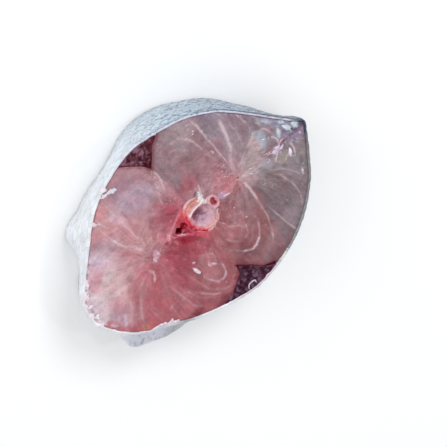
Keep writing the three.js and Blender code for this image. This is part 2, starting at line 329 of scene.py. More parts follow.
# ---- White seams of the cut muscle: points, half width, strength ----
SEAMS = [
    ([(-26.5, 29.6), (-21, 28.2), (-16.5, 26.9), (-11.5, 24.2)], 0.75, 1.1),
    ([(-17, 27), (-13.5, 24.9), (-9, 22), (-4.5, 20.6)], 0.95, 0.6),
    ([(-35.1, 20.5), (-29.5, 21.1), (-24.5, 21), (-15.8, 21), (-9.5, 20.8), (-3, 20.6)], 0.34, 0.75),
    ([(-35, 20.4), (-31, 21), (-26.5, 21.1)], 0.4, 0.9),
    ([(-33.5, 7), (-33, 10.5), (-30.6, 14), (-27, 16), (-22.5, 16.6), (-17, 17.6)], 0.42, 0.34),
    ([(-31, 12.6), (-29, 14.8), (-26.5, 15.9), (-23.5, 16.6)], 0.45, 0.75),
    ([(-38, 27), (-33, 29.5), (-27, 31.4), (-20, 33)], 0.4, 0.35),
    ([(-24, 31.5), (-18, 32), (-12, 31)], 0.4, 0.4),
    ([(-26, 36.5), (-19, 37.5), (-12.5, 37)], 0.4, 0.35),
    ([(-22, 42), (-17, 42.5), (-12, 41.5)], 0.4, 0.4),
    ([(-30.8, -5), (-27, -4.6), (-22, -5.5), (-17, -7.5)], 0.42, 0.75),
    ([(1.1, 20.8), (8, 20.9), (12, 20.5)], 0.5, 1.0),
    ([(10, 20.8), (16, 19.9), (21.5, 18.6), (27, 16.6), (31, 13.6)], 0.3, 0.58),
    ([(25.5, 17.2), (28, 15.8), (30, 14.2)], 0.36, 0.6),
    ([(18.4, 14.8), (20.6, 13.6), (22.8, 12)], 0.3, 0.6),
    ([(21.6, 12.6), (23.8, 10.8), (25.6, 8.2), (26.1, 5.4), (25.2, 3), (23.4, 0.6)], 0.36, 0.95),
    ([(23, 0.4), (20.6, -1.8), (18, -3.4)], 0.4, 0.35),
    ([(18, 22.4), (24.3, 23.3), (30.5, 24.5), (35, 25.3)], 0.32, 0.8),
    ([(8, 33.5), (12, 35.4), (17, 36.6), (22, 36.5), (27, 34)], 0.36, 0.55),
    ([(5.5, 33), (8.5, 37), (13, 40.6), (17.5, 42)], 0.36, 0.45),
    ([(10.5, 2.6), (12, 5.4), (14.5, 7.6), (17, 8.4)], 0.4, 0.4),
    ([(14.4, -0.9), (16, -0.2), (18, 1.4), (19.6, 3.6)], 0.34, 0.5),
    ([(20, 5.4), (19.2, 7.8), (17, 9.2)], 0.36, 0.3),
    ([(-35, -29), (-28, -28.8), (-22, -28.6), (-9.5, -28)], 0.36, 0.6),
    ([(-27, -37.5), (-20.8, -36.5), (-15.1, -34.9), (-10.8, -31.8), (-5.8, -29.3)], 0.4, 0.9),
    ([(20, -9.2), (23, -9), (25.6, -10), (27.1, -12.2)], 0.4, 0.75),
    ([(27.1, -12), (26.3, -14.8), (23.8, -16.8), (20, -18)], 0.36, 0.85),
    ([(12.6, -13.6), (12.9, -10.9), (15.4, -9.3), (18.6, -9.6)], 0.4, 0.35),
    ([(14, -11.3), (17, -13), (20, -12.4)], 0.45, 0.3),
    ([(13, -23), (20.5, -21.8), (26.8, -19.3), (31, -14.3), (32.3, -9.6)], 0.7, 0.3),
    ([(23, -24.6), (26.5, -22.8), (29.5, -19.8), (31.4, -16.8)], 0.45, 0.45),
    ([(18, -28), (25.5, -25.5), (30.5, -21)], 0.6, 0.28),
    ([(21, -31), (26, -29.5), (30.5, -26.5)], 0.5, 0.28),
    ([(-0.8, -34.3), (3, -33), (6.5, -34.9)], 0.36, 0.6),
    ([(13, -31.8), (18, -30.8), (23, -31.1)], 0.36, 0.5),
    ([(5.5, -40.5), (8, -44.3), (13, -48), (19.3, -51.8)], 0.4, 0.55),
    ([(5, -47), (9, -50.5), (12, -53), (17, -55.5)], 0.4, 0.55),
    ([(6, -55.5), (9, -56.8), (12, -57)], 0.4, 0.5),
    ([(19.8, -35.5), (20.3, -37), (20.5, -38.8)], 0.4, 0.5),
    ([(2.4, -38), (4.6, -41.6), (8.2, -45)], 0.36, 0.35),
    ([(-2.4, 21.5), (-5.4, 24.2), (-8.6, 29.4), (-10.2, 33.6), (-11.9, 37.4)], 0.4, 0.55),
    ([(-1.5, 21.5), (0.5, 27), (1.5, 33)], 0.45, 0.45),
    ([(-12, 41), (-8, 43), (-4, 44)], 0.4, 0.7),
    ([(-4, -30), (-8, -38), (-10, -46), (-9, -54)], 0.9, 0.35),
    ([(-2, -31), (-3.5, -40), (-3, -50)], 0.7, 0.3),
    ([(-22, -9), (-18.5, -10.5), (-14, -10.8)], 0.4, 0.35),
    ([(-31, -36), (-27, -35), (-22, -33.6)], 0.4, 0.4),
]


def fan(root, side, reach, ups, bend, half, strength):
    """Faint seams that leave a root and sweep out to the skin."""
    lines = []
    for k, up in enumerate(ups):
        start = (root[0] + side * 2.5, root[1] + up * 0.12)
        middle = (root[0] + side * reach * 0.5, root[1] + up * 0.62 + bend)
        end = (root[0] + side * reach, root[1] + up)
        lines.append(([start, middle, end], half, strength * (0.6 + 0.2 * ((k * 7) % 3))))
    return lines


def arcs(x, y, rx, ry, sizes, middle, half, strength):
    """Faint curved seams on one side of a cut muscle cone, round a middle direction in degrees."""
    lines = []
    for k, size in enumerate(sizes):
        turns = np.radians(middle + np.linspace(-1, 1, 7) * (52 - 6 * (k % 3)) + 9 * (k % 2))
        line = [(x + rx * size * math.cos(t), y + ry * size * math.sin(t)) for t in turns]
        lines.append((line, half, strength))
    return lines


FAINT = (
    fan((-2, 21), -1, 34, np.arange(3, 21, 2.6), 2.5, 0.32, 0.35)
    + fan((0, 22), 1, 33, np.arange(3.5, 22, 1.3), 2.2, 0.26, 0.36)
    + fan((3, 30), 1, 24, np.arange(2, 16, 2.2), 2.0, 0.26, 0.26)
    + fan((-4, 33), -1, 20, np.arange(2, 13, 2.6), 1.5, 0.32, 0.3)
    + fan((-2, -28), -1, 34, np.arange(-15, -1, 2.4), -1.5, 0.36, 0.35)
    + fan((-4, -36), -1, 20, np.arange(-19, -1, 2.6), -2, 0.36, 0.35)
    + fan((1, -28), 1, 32, np.arange(-12, 4, 2.3), -2, 0.36, 0.35)
    + fan((3, -38), 1, 20, np.arange(-17, -1, 2.3), -2.5, 0.36, 0.4)
    + arcs(-20, 6, 13.8, 9.5, [0.55, 0.78, 1], 172, 0.4, 0.32)
    + arcs(14, 5, 11, 8.5, [0.3, 0.55, 0.8], 40, 0.35, 0.22)
    + arcs(18, -13, 11, 8.5, [0.5, 0.85], -30, 0.4, 0.25)
    + arcs(-24, -14, 12, 8.5, [0.6, 0.9], 140, 0.4, 0.2)
)

CELL, CELLS = 3.0, 80  # the face is looked up in square cells
SEAM_REACH = 1.9  # how far from its line a seam is looked for


def cell_of(at):
    return np.floor(at / CELL).astype(int) + CELLS // 2


def seams_at(x, y, lines, seed):
    """How white the seams make each place, from 0 to 1."""
    white = np.zeros(x.shape)
    key = cell_of(x) * CELLS + cell_of(y)
    order = np.argsort(key, kind="stable")
    starts = np.searchsorted(key[order], np.arange(CELLS * CELLS + 1))
    wobble_x, wobble_y = 0.35 * cloud(x, y, 3.1, seed), 0.35 * cloud(x, y, 2.7, seed + 1)
    for k, (points, half, strength) in enumerate(lines):
        line = smooth_line(points, 5)
        spots = np.arange(len(line)) * 0.9
        patchy = np.clip(0.8 + 0.6 * cloud(spots, np.full(len(line), 5.0 * k), 2.0, seed + 2), 0.2, 1.2)
        for i, (a, b) in enumerate(zip(line, line[1:])):
            low, high = cell_of(np.minimum(a, b) - SEAM_REACH), cell_of(np.maximum(a, b) + SEAM_REACH)
            columns = range(low[0] * CELLS, (high[0] + 1) * CELLS, CELLS)
            near = np.concatenate([order[starts[c + low[1]]:starts[c + high[1] + 1]] for c in columns])
            t, away = along_and_away(x[near] + wobble_x[near], y[near] + wobble_y[near], a, b)
            ends = between((i + t) / (len(line) - 1), 0, 0.2, 1, 0.2)
            glow = fall(away, half) + 0.14 * fall(away, half * 2.4)
            value = strength * glow * (patchy[i] * (1 - t) + patchy[i + 1] * t) * (0.25 + 0.75 * ends)
            white[near] = np.maximum(white[near], value)
    return np.clip(white, 0, 1)


# ---- Muscles of the cut face ----
# Left and right tints of the back, the upper flank, the lower flank and the belly.
BANDS = [("mauve", "grey"), ("taupe", "rust"), ("blush", "rose"), ("salmon", "brick")]
# Centre, half widths, turn in degrees, how soft the edge is, tint and share.
MUSCLES = {
    "left back": (-20, 38, 9, 7, 30, 1, (138, 118, 130), 0.75),
    "left back by the skin": (-31, 28.5, 4, 6, -30, 1, (140, 128, 146), 0.6),
    "beside the back fin muscle": (-12.5, 33, 4.5, 8, 17, 1, (146, 124, 130), 0.5),
    "between the fin muscles": (-1.6, 30, 3, 8.4, 2, 1, (180, 156, 162), 0.6),
    "left back fin muscle": (-6.0, 31.5, 4.3, 11.4, 15, 0.2, (180, 156, 158), 0.95),
    # its wet head: the muscle's head, its bluish grey a painted wet sheen
    "its wet head": (-8.0, 38.2, 3.7, 3.2, 0, 0.5, (166, 166, 180), 0.85),
    "right back fin muscle": (3.4, 33, 2.6, 10, -14, 0.7, (168, 150, 156), 0.6),
    "right back": (11, 31, 6, 8, -30, 1, (118, 96, 100), 0.75),
    "right back by the skin": (26.5, 28.5, 5, 6.4, 40, 1, (154, 138, 144), 0.65),
    "beside the knot": (4.4, 18.8, 3.4, 2.4, 0, 1, (184, 146, 154), 0.7),
    "gristle bed": (10, 43, 7.5, 5.4, -25, 1, (138, 126, 130), 0.85),
    "brown tissue": (6.4, 48.8, 3.4, 2.6, 0, 0.8, (152, 138, 138), 0.85),
    "under the ridge": (-2.5, 51.5, 7.5, 6.6, 0, 0.8, "steel", 0.95),
    "dark tip": (-0.9, 56.4, 1.9, 1.5, 0, 0.9, "slate", 0.95),
    "blue band by the skin": (-10.3, 48, 9, 1.0, 40, 0.8, "blue grey", 0.8),
    "knot of the upper spine": (-2.6, 22.8, 7, 3, 0, 1, "knot", 0.85),
    "below the knot": (-4, 15, 5.5, 6, 0, 1, (206, 142, 150), 0.8),
    "left shoulder rim": (-34.5, 14, 5, 8, 10, 1, "pale", 0.6),
    "right shoulder rim": (36.4, 13, 4, 9.5, 6, 0.8, (132, 92, 98), 0.85),
    "flush beside the backbone": (-12, 9, 8, 16, 8, 1, (184, 136, 144), 0.55),
    "upper left core": (-19, 9, 6.5, 7, 0, 1, "rust", 0.35),
    "flush at the right seam": (14, -2, 12, 3.4, -4, 1, (180, 112, 116), 0.5),
    "upper right shell": (21, 14.5, 13, 5, -28, 1, "rust", 0.25),
    "above the outer seam": (28.5, 16.4, 6, 3, -40, 1, (164, 120, 124), 0.7),
    "inside the outer seam": (29, 8.6, 3, 5, 20, 1, (134, 106, 108), 0.5),
    "upper right middle": (8.5, 14.5, 7, 5, -10, 1, (160, 126, 130), 0.75),
    "above the upper right cone": (9.6, 9.4, 4, 2.6, 0, 1, (150, 92, 104), 0.6),
    "upper right cone": (12.5, 4.6, 7.5, 6, 0, 0.8, (176, 120, 127), 0.6),
    "bloody notch": (23, 3.4, 4.5, 3.6, 20, 1, "wine", 0.35),
    "tip of the right wedge": (28, -2.6, 3.4, 2.4, -10, 1, "wine", 0.65),
    "tip of the left wedge": (-31.4, -4.6, 3.2, 2.2, 0, 1, (134, 78, 84), 0.5),
    "lilac muscle": (-26.6, -17, 5.8, 9.4, -15, 0.9, "lilac", 0.95),
    "its dark side": (-33.4, -19, 3.2, 8, 12, 1, (166, 126, 140), 0.8),
    "brown edge of it": (-24.6, -23.6, 2.8, 0.9, 4, 1, "rust", 0.7),
    "below the lilac muscle": (-26, -26.6, 6, 3, 0, 1, (204, 168, 178), 0.9),
    "knot of the lower spine": (3, -26.6, 4, 3, 0, 1, (206, 128, 138), 0.5),
    "lower left cone": (-22, -7.6, 6.5, 3, -8, 0.9, "blush", 0.6),
    "lower right cone": (18.5, -12.8, 7.5, 5, -10, 0.8, "salmon", 0.3),
    "below the left cone": (-12.4, -24.6, 8, 5, 0, 1, (206, 150, 154), 0.75),
    "lower right shell": (36.6, -15, 3.2, 11, 8, 0.9, (120, 62, 74), 0.8),
    "right belly rim": (31.4, -34.2, 3.2, 8, 22, 0.9, (136, 56, 68), 0.9),
    "orange belly corner": (19.4, -50.4, 2.8, 2.4, 40, 1, (196, 116, 100), 0.65),
    "belly midline": (0.5, -42, 5, 12, 2, 1, (200, 142, 150), 0.45),
    "pale right belly": (6.4, -54, 6, 6.4, -10, 1, (200, 150, 160), 0.8),
    "left belly": (-15.5, -48, 5.4, 8, -35, 1, (214, 186, 198), 0.9),
    "left belly rim": (-22, -44, 3.6, 9, -38, 1, "lilac", 0.6),
    "blue sheen": (-17.4, -48.4, 1.6, 3.8, -40, 1, (190, 186, 212), 0.4),
    "cream belly": (-5.2, -50, 6.6, 12, 4, 1, "cream", 1),
    "belly foot": (-4.2, -60, 9, 5.6, -4, 1, (220, 202, 209), 0.95),
    "pink lobe": (-10.4, -53, 3, 3.4, 30, 0.5, (202, 144, 158), 0.7),
    "right of the ridge": (8, -57.5, 5, 3.4, -30, 1, "lilac", 0.55),
}
# Where blood has stained the muscle: centre, half widths, turn and share.
STAINS = [
    (3.5, -15, 8.5, 10, -15, 0.62), (9.5, -24, 9, 6, -20, 0.55), (-8.5, -11, 8, 8, 0, 0.8),
    (-13.5, -12, 5, 8, 0, 0.55), (-14.5, 1, 5, 5.4, 0, 0.52), (5.5, 1, 7, 8, 0, 0.26),
    (-5.5, 15, 6, 6, 0, 0.26),
    (-3, -21, 7, 6, 0, 0.22), (0, -30, 8, 8, 0, 0.12), (-8, -20, 4, 4, 0, 0.3), (-8, -36, 6, 6, 0, 0.26),
    (-2, -6, 3, 3, 0, 0.8),
]
# Small marks of the cut: centre, half widths, turn in degrees, tint and share. Some are painted light: wet
# glints, and one shadow under the silvery band by the ridge.
SPOTS = [
    (-8.6, 46.6, 1.6, 0.9, 40, (112, 112, 140), 0.5), (-7.4, 44.2, 1.2, 0.8, 0, (150, 96, 112), 0.5),
    (-12, 44.6, 2.4, 0.7, 42, (190, 192, 214), 0.6), (3.6, 51, 1.0, 0.8, 0, (168, 130, 152), 0.5),
    (7.4, 50.4, 1.6, 0.9, -40, (126, 124, 130), 0.6), (11.6, 46, 2.2, 0.8, -35, (118, 102, 108), 0.6),
    (5.2, 40.6, 1.8, 2.6, 0, (160, 148, 132), 0.6), (10.6, 44.4, 1.4, 0.7, -30, (162, 150, 146), 0.5),
    (-14, 41.2, 1.6, 0.5, 20, (196, 190, 204), 0.5), (-3.2, 47.8, 1.2, 0.8, 30, (128, 92, 116), 0.6),
    (-1.1, 10.2, 1.4, 2.3, -18, (190, 152, 182), 0.7), (-0.4, 22.9, 1.3, 0.9, 0, "knot", 0.9),
    (-1.8, 20.2, 0.55, 0.6, 0, (104, 44, 44), 0.95),
    (-2.5, 53.5, 1.5, 1.2, 20, (206, 216, 224), 0.9), (-3.7, 50, 1.7, 1.0, 35, (216, 222, 232), 0.9),
    # the second mark here is a painted shadow under the silvery band
    (-4.4, 45.7, 2.7, 0.8, -28, (206, 212, 218), 0.85), (-5.8, 44.4, 1.6, 0.7, -20, (124, 134, 136), 0.6),
    (-1.6, 51.4, 0.8, 0.7, 0, "slate", 0.8), (-0.2, 51.9, 0.7, 0.8, 0, "slate", 0.7),
    (-7.4, 49.2, 1.5, 0.6, 40, (198, 204, 226), 0.8), (2.6, 48.6, 0.9, 0.7, 0, "slate", 0.5),
    # the second mark here is a painted highlight, a wet glint
    (0.7, 40.4, 1.4, 2.4, 10, (196, 176, 196), 0.8), (5.4, 44.3, 1.6, 0.8, -35, (230, 214, 230), 0.95),
    (2.3, 33.6, 2.8, 2.2, 30, (168, 158, 168), 0.7),
    # painted highlights: the next three marks are wet glints on the lower right cone
    (18.4, -11.5, 1.3, 0.6, 42, (216, 152, 172), 0.8), (17.5, -13, 0.9, 0.6, 0, (212, 158, 172), 0.7),
    (15.7, -18.9, 1.9, 0.55, 12, (244, 228, 238), 0.95), (12.2, -17.6, 0.6, 0.4, 60, (222, 170, 184), 0.7),
    (-1.7, -26.8, 2.0, 1.4, -20, (208, 158, 176), 0.75), (-0.4, -28.5, 1.2, 0.7, -30, (216, 186, 204), 0.8),
    (-3.2, -18.6, 2.3, 1.1, -32, (222, 140, 150), 0.75), (0.6, -17.2, 1.3, 0.9, 20, (224, 128, 142), 0.6),
    (-4.4, -21.6, 1.3, 1.6, 20, (216, 140, 150), 0.6), (-2.0, -20.2, 0.8, 1.3, 0, "crimson", 0.6),
    (-36.8, 4, 0.6, 0.5, 30, (190, 150, 165), 0.5),
]
# The same for narrow marks: points, half width, tint and share. The film white one and the white patch left
# of the cup are painted highlights.
STROKES = [
    ([(-25.4, 29.4), (-20.6, 28.2), (-15.6, 26.4)], 0.6, (230, 216, 228), 0.6),
    ([(-31, 21), (-28, 21.2), (-24.6, 21.1)], 0.4, (226, 198, 200), 0.6),
    ([(2, 20.9), (6, 21), (10.4, 20.7)], 0.45, (226, 208, 214), 0.55),
    ([(24.4, 10.2), (25.8, 8), (26.1, 5.6)], 0.4, (230, 200, 220), 0.75),
    ([(25.2, -9.8), (26.6, -11.2), (27, -12.6)], 0.4, (222, 174, 200), 0.7),
    # painted highlight along the upper spine's cut edge
    ([(-0.6, 10.6), (-0.2, 11.8), (0.1, 12.9)], 0.32, "film", 0.7),
    ([(-0.6, 13.6), (-1.2, 16.4), (-1.9, 19.6)], 0.8, (200, 140, 148), 0.5),
    ([(-2.8, 12.6), (-3.4, 16), (-3.0, 19)], 0.5, (190, 124, 134), 0.4),
    # painted highlight: these two strokes are the white glossy patch left of the backbone's cup
    ([(-5.6, 0.7), (-6.8, 2.1), (-9, 3.3)], 0.75, (232, 228, 230), 0.95),
    ([(-5.9, 2.7), (-7.4, 3.1)], 0.7, (230, 224, 226), 0.9),
    ([(-8.6, 3.8), (-9.8, 4.7), (-11.2, 5.2)], 0.5, (216, 170, 180), 0.8),
    ([(-10.2, 2.9), (-9.3, 1.5)], 0.45, (104, 78, 88), 0.7),
    ([(0.3, 55), (0.2, 50), (-0.2, 45.4), (-0.8, 42.4)], 0.65, (122, 80, 100), 0.7),
    ([(-1, 39), (-1.8, 36.6), (-2.2, 34)], 0.4, (150, 104, 116), 0.5),
    ([(1.5, 55), (2, 51), (1.6, 47.4)], 0.7, (162, 120, 150), 0.6),
    ([(2.4, 46.9), (4.6, 46.8), (7, 46)], 0.4, (220, 194, 204), 0.85),
    ([(-0.6, 43.4), (-1.1, 45.4), (-0.7, 47.2)], 0.4, (190, 146, 160), 0.6),
    ([(-1.6, 43.3), (-3.2, 43.5), (-5, 42.6)], 0.4, (204, 184, 200), 0.7),
    ([(-0.4, 38.5), (-1.3, 36.2), (-1.6, 34.2)], 0.7, (166, 120, 130), 0.5),
    ([(1, 38.2), (1.7, 36.4)], 0.3, (176, 134, 142), 0.5),
    ([(1.4, 40), (2.6, 39), (4, 37)], 0.3, "sinew", 0.8),
    ([(6.6, 40.6), (5.6, 42.4), (6.6, 43.8)], 0.35, (196, 180, 184), 0.6),
    ([(14.4, 43.9), (16.8, 42.9)], 0.32, (208, 202, 210), 0.8),
    ([(8.6, -53.8), (10.4, -55), (12.4, -56.2)], 0.45, (216, 196, 214), 0.85),
    ([(3, -32.8), (5, -33.6), (6.6, -35)], 0.35, (238, 196, 196), 0.8),
]
# Blood in and round the lower arch, over bone and muscle alike.
BLOODY_SPOTS = [
    (1.3, -12.0, 3.6, 4.2, -24, (152, 40, 60), 0.75), (-2.9, -10.5, 1.7, 1.5, 0, (122, 2, 24), 0.95),
    (-2.4, -10.1, 0.5, 0.45, 0, (214, 70, 90), 0.85), (2.0, -14.6, 1.2, 1.0, 0, (136, 20, 44), 0.6),
    (-7.2, -7.6, 1.8, 2.2, 20, (224, 110, 116), 0.6),
    (-6.4, -10.4, 1.3, 1.6, 20, (176, 60, 78), 0.6),
]
BLOODY_STROKES = [
    ([(2.2, 4.4), (5.0, 2.4), (6.6, -0.8), (6.5, -3.4)], 0.5, (240, 200, 202), 0.8),
    ([(-6.6, -8.2), (-5.6, -10.4), (-4.6, -12.4)], 0.9, (206, 62, 78), 0.7),
    ([(-7.9, -8.6), (-6.6, -12.3), (-4.7, -16), (-2.9, -18.2)], 0.6, (222, 138, 150), 0.75),
    ([(2.6, -9.6), (1.0, -11.6), (-0.9, -14.2), (-2.2, -17)], 0.4, (222, 124, 140), 0.65),
    ([(7.6, -3.4), (6.4, -6.2), (4.4, -8.4)], 0.7, (222, 82, 96), 0.6),
    ([(-1.5, -14.6), (-0.3, -13.2), (0.6, -12)], 0.25, (240, 176, 184), 0.9),
    ([(-0.2, -13.6), (-1.1, -12.4)], 0.22, (236, 160, 172), 0.8),
    ([(-0.6, -9.5), (2.4, -8.9), (4.8, -7.1)], 0.6, (216, 82, 102), 0.85),
]


def streaks(x, y, seed):
    """Fine streaks that run out from the backbone and from its spines' ends."""
    total, weight = np.zeros(x.shape), np.zeros(x.shape)
    for k, (rx, ry) in enumerate(((-1.5, -2.5), (-1.5, 22), (-1.5, -29))):
        turn, reach = np.arctan2(y - ry, x - rx), np.hypot(x - rx, y - ry)
        w = 1 / (4 + reach) ** 2
        coarse = cloud(turn * 9, np.log(reach + 3) * 5, 1.0, seed + k)
        middle = cloud(turn * 22, reach / 5, 1.0, seed + 9 + k)
        fine = cloud(turn * (10 + reach), reach / 3.5, 1.0, seed + 18 + k)
        total += w * (0.8 * coarse + 0.6 * middle + 0.6 * fine)
        weight += w
    return total / weight


def marked(colour, x, y, spots, strokes, warp=0.3):
    """The colour with small soft marks laid over it."""
    wx, wy = x + warp * cloud(x, y, 1.1, 171), y + warp * cloud(x, y, 1.1, 172)
    for *shape, tint, share in spots:
        colour = tinted(colour, tint, share * ease((1.3 - oval(wx, wy, *shape)) / 0.6))
    for points, half, tint, share in strokes:
        colour = tinted(colour, tint, share * fall(away_from(wx, wy, points), half))
    return colour


def bands(x, y):
    """How much of each place belongs to the back, the upper flank, the lower flank and the belly."""
    upper_seam = np.where(x < 0, 21, 20.9 - 16 * np.clip(x / 34, 0, 1) ** 5)
    back = ease((y - upper_seam) / 1.6 + 0.5)
    above_side = ease((y + 4.3) / 1.6 + 0.5)
    above_belly = ease((y + 28.6) / 6 + 0.5)
    return back, above_side - back, above_belly - above_side, 1 - above_belly


def muscle_colour(x, y):
    """The colour that the muscle shows at each place of the cut."""
    wx = x + 1.8 * cloud(x, y, 6, 61) + 0.8 * cloud(x, y, 2.2, 63)
    wy = y + 1.8 * cloud(x, y, 6, 62) + 0.8 * cloud(x, y, 2.2, 64)
    right = ease((wx + 1.5) / 5 + 0.5)
    colour = np.zeros((len(x), 3))
    for share, (left_tint, right_tint) in zip(bands(wx, wy), BANDS):
        colour += share[:, None] * blended(linear(left_tint), linear(right_tint), right)
    for *shape, soft, tint, share in MUSCLES.values():
        colour = tinted(colour, tint, share * ease((1 + soft / 2 - oval(wx, wy, *shape)) / soft))
    for *shape, share in STAINS:
        colour = tinted(colour, "stain", share * bell(oval(wx, wy, *shape) / 1.5))
    bloody = fall(oval(x, y, -1, -4, 17, 20), 1)
    light = 0.08 * cloud(x, y, 2.6, 65) + 0.08 * cloud(x, y, 1.2, 66)
    light += (0.2 + 0.14 * bloody) * streaks(x, y, 170)
    warm = 0.05 * cloud(x, y, 3.8, 67) + (0.04 + 0.12 * bloody) * streaks(x, y, 190)
    return shaded(colour, light) * (1 + warm[:, None] * np.array([0.3, -1.2, -0.8]))


def ridge_rags(x, y, colour):
    """Torn flesh along the belly's ridge: pale rags, pink ones and dark gaps."""
    turn = np.arctan2(y, x)
    degrees = np.degrees(turn) % 360
    depth = np.hypot(x, y) / edge_radius(turn)
    ridge, redder = between(degrees, 243, 8, 287, 7), ease((degrees - 270) / 8)
    near, edge = ridge * ease((depth - 0.88) / 0.08), ridge * ease((depth - 0.93) / 0.04)
    return layered(colour, [
        ((196, 106, 108), near * redder * 0.7 * patches(x, y, 2.6, 181, -0.2, 0.6)),
        ((200, 150, 164), near * (1 - redder) * 0.55 * patches(x, y, 2.2, 184, -0.1, 0.6)),
        ((226, 208, 218), near * 0.5 * patches(x, y, 1.7, 185, 0.1, 0.6)),
        ((156, 88, 106), edge * 0.65 * patches(x, y, 1.4, 182, 0.15, 0.5)),
        ((234, 220, 230), edge * 0.75 * patches(x * 0.8, y * 0.8, 1.3, 183, 0.05, 0.5)),
    ])


def cut_height(x, y):
    """The height of the cut with its fine unevenness."""
    height = face_height(x, y)
    for share, size, seed in ((0.12, 2.4, 11), (0.16, 5.5, 12), (0.07, 1.2, 13)):
        height = height + share * cloud(x, y, size, seed)
    return height


def cut_colour(x, y):
    """The muscle's colour with its marks, and how far the marks stand out or lie sunk."""
    plain = ridge_rags(x, y, muscle_colour(x, y))
    colour = marked(marked(plain, x, y, SPOTS, STROKES), x, y, BLOODY_SPOTS, BLOODY_STROKES)
    return colour, np.clip((colour - plain).mean(1) * 0.9, -0.5, 0.35)


# ---- Making pieces ----
FLESH_AROUND, SKIN_AROUND, BONE_AROUND = 620, 900, 360  # places round each sheet
SEAM_GAP, SAME_PLACE = 1e-6, 1e-7  # metres: what counts as one point at a seam, and elsewhere


def mesh_of(bm, name):
    mesh = bpy.data.meshes.new(name)
    bm.to_mesh(mesh)
    bm.free()
    return mesh


def places(mesh):
    flat = np.empty(len(mesh.vertices) * 3)
    mesh.vertices.foreach_get("co", flat)
    return flat.reshape(-1, 3)


def rows(count, start, end):
    """Even rows of a sheet from a start towards an end, without the end: share outward and level."""
    return [tuple(a + (b - a) * k / count for a, b in zip(start, end)) for k in range(count)]


def bent_sheet(name, profile, around, closed):
    """A sheet to bend round the backbone: its mesh, and the turn, share and level of each vertex."""
    rows = len(profile) if closed else len(profile) - 1
    bm = bmesh.new()
    bmesh.ops.create_grid(bm, x_segments=around, y_segments=rows, size=1)
    mesh = mesh_of(bm, name)
    co = places(mesh)
    column = np.rint((co[:, 0] + 1) / 2 * around).astype(int) % around
    row = np.rint((co[:, 1] + 1) / 2 * rows).astype(int) % len(profile)
    share, level = np.array(profile, float)[row].T
    return mesh, column * 2 * math.pi / around - math.pi, share, level


def paint(mesh, colour):
    """Stores the paint and the share of wet film at each place."""
    rgba = np.concatenate([painted(colour), np.ones((len(colour), 1))], 1)
    shown = mesh.attributes.new("shown", "FLOAT_COLOR", "POINT")
    shown.data.foreach_set("color", rgba.ravel().astype(np.float32))
    film = mesh.attributes.new("film", "FLOAT", "POINT")
    film.data.foreach_set("value", film_over(colour).astype(np.float32))


def finish_piece(mesh, co, colour, name, material, nodes=()):
    """Paints a piece, puts it on the steak in metres, closes its seams and turns its faces outward."""
    paint(mesh, np.clip(colour, 0, 1))
    mesh.vertices.foreach_set("co", (co * MM + np.array(AXIS)).ravel())
    bm = bmesh.new()
    bm.from_mesh(mesh)
    bmesh.ops.remove_doubles(bm, verts=[v for v in bm.verts if v.is_boundary], dist=SEAM_GAP)
    bmesh.ops.remove_doubles(bm, verts=bm.verts, dist=SAME_PLACE)
    bmesh.ops.recalc_face_normals(bm, faces=bm.faces)
    bm.to_mesh(mesh)
    bm.free()
    mesh.shade_smooth()
    mesh.materials.append(material)
    piece = bpy.data.objects.new(name, mesh)
    bpy.context.scene.collection.objects.link(piece)
    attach(piece, "root")
    if nodes:
        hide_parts(*nodes)


# ---- Materials ----
def set_inputs(node, values):
    for name, value in values.items():
        node.inputs[name].default_value = value


def material_with(name):
    mat = bpy.data.materials.new(name)
    mat.use_nodes = True
    return mat, mat.node_tree, mat.node_tree.nodes["Principled BSDF"]


def attribute(tree, name):
    node = tree.nodes.new("ShaderNodeAttribute")
    node.attribute_name = name
    return node.outputs


def noise_node(tree, size, detail, seed):
    """Noise over the piece, with features of a size in mm."""
    coords = tree.nodes.new("ShaderNodeTexCoord")
    mapping = tree.nodes.new("ShaderNodeMapping")
    set_inputs(mapping, {"Location": (seed, seed * 0.7, seed * 1.3)})
    noise = tree.nodes.new("ShaderNodeTexNoise")
    set_inputs(noise, {"Scale": 1 / (size * MM), "Detail": detail})
    tree.links.new(coords.outputs["Object"], mapping.inputs["Vector"])
    tree.links.new(mapping.outputs["Vector"], noise.inputs["Vector"])
    return noise.outputs["Fac"]


def ramp(tree, source, to_low, to_high, low=0.3, high=0.7):
    node = tree.nodes.new("ShaderNodeMapRange")
    set_inputs(node, {"From Min": low, "From Max": high, "To Min": to_low, "To Max": to_high})
    tree.links.new(source, node.inputs["Value"])
    return node.outputs["Result"]


def mottle(tree, colour, amount):
    """The colour, made lighter and darker by an amount."""
    node = tree.nodes.new("ShaderNodeVectorMath")
    node.operation = "SCALE"
    tree.links.new(colour, node.inputs[0])
    tree.links.new(amount, node.inputs["Scale"])
    return node.outputs["Vector"]


def bump(tree, bsdf, source, distance):
    node = tree.nodes.new("ShaderNodeBump")
    node.inputs["Distance"].default_value = distance * MM
    tree.links.new(source, node.inputs["Height"])
    previous = bsdf.inputs["Normal"].links
    if previous:
        tree.links.new(previous[0].from_socket, node.inputs["Normal"])
    tree.links.new(node.outputs["Normal"], bsdf.inputs["Normal"])


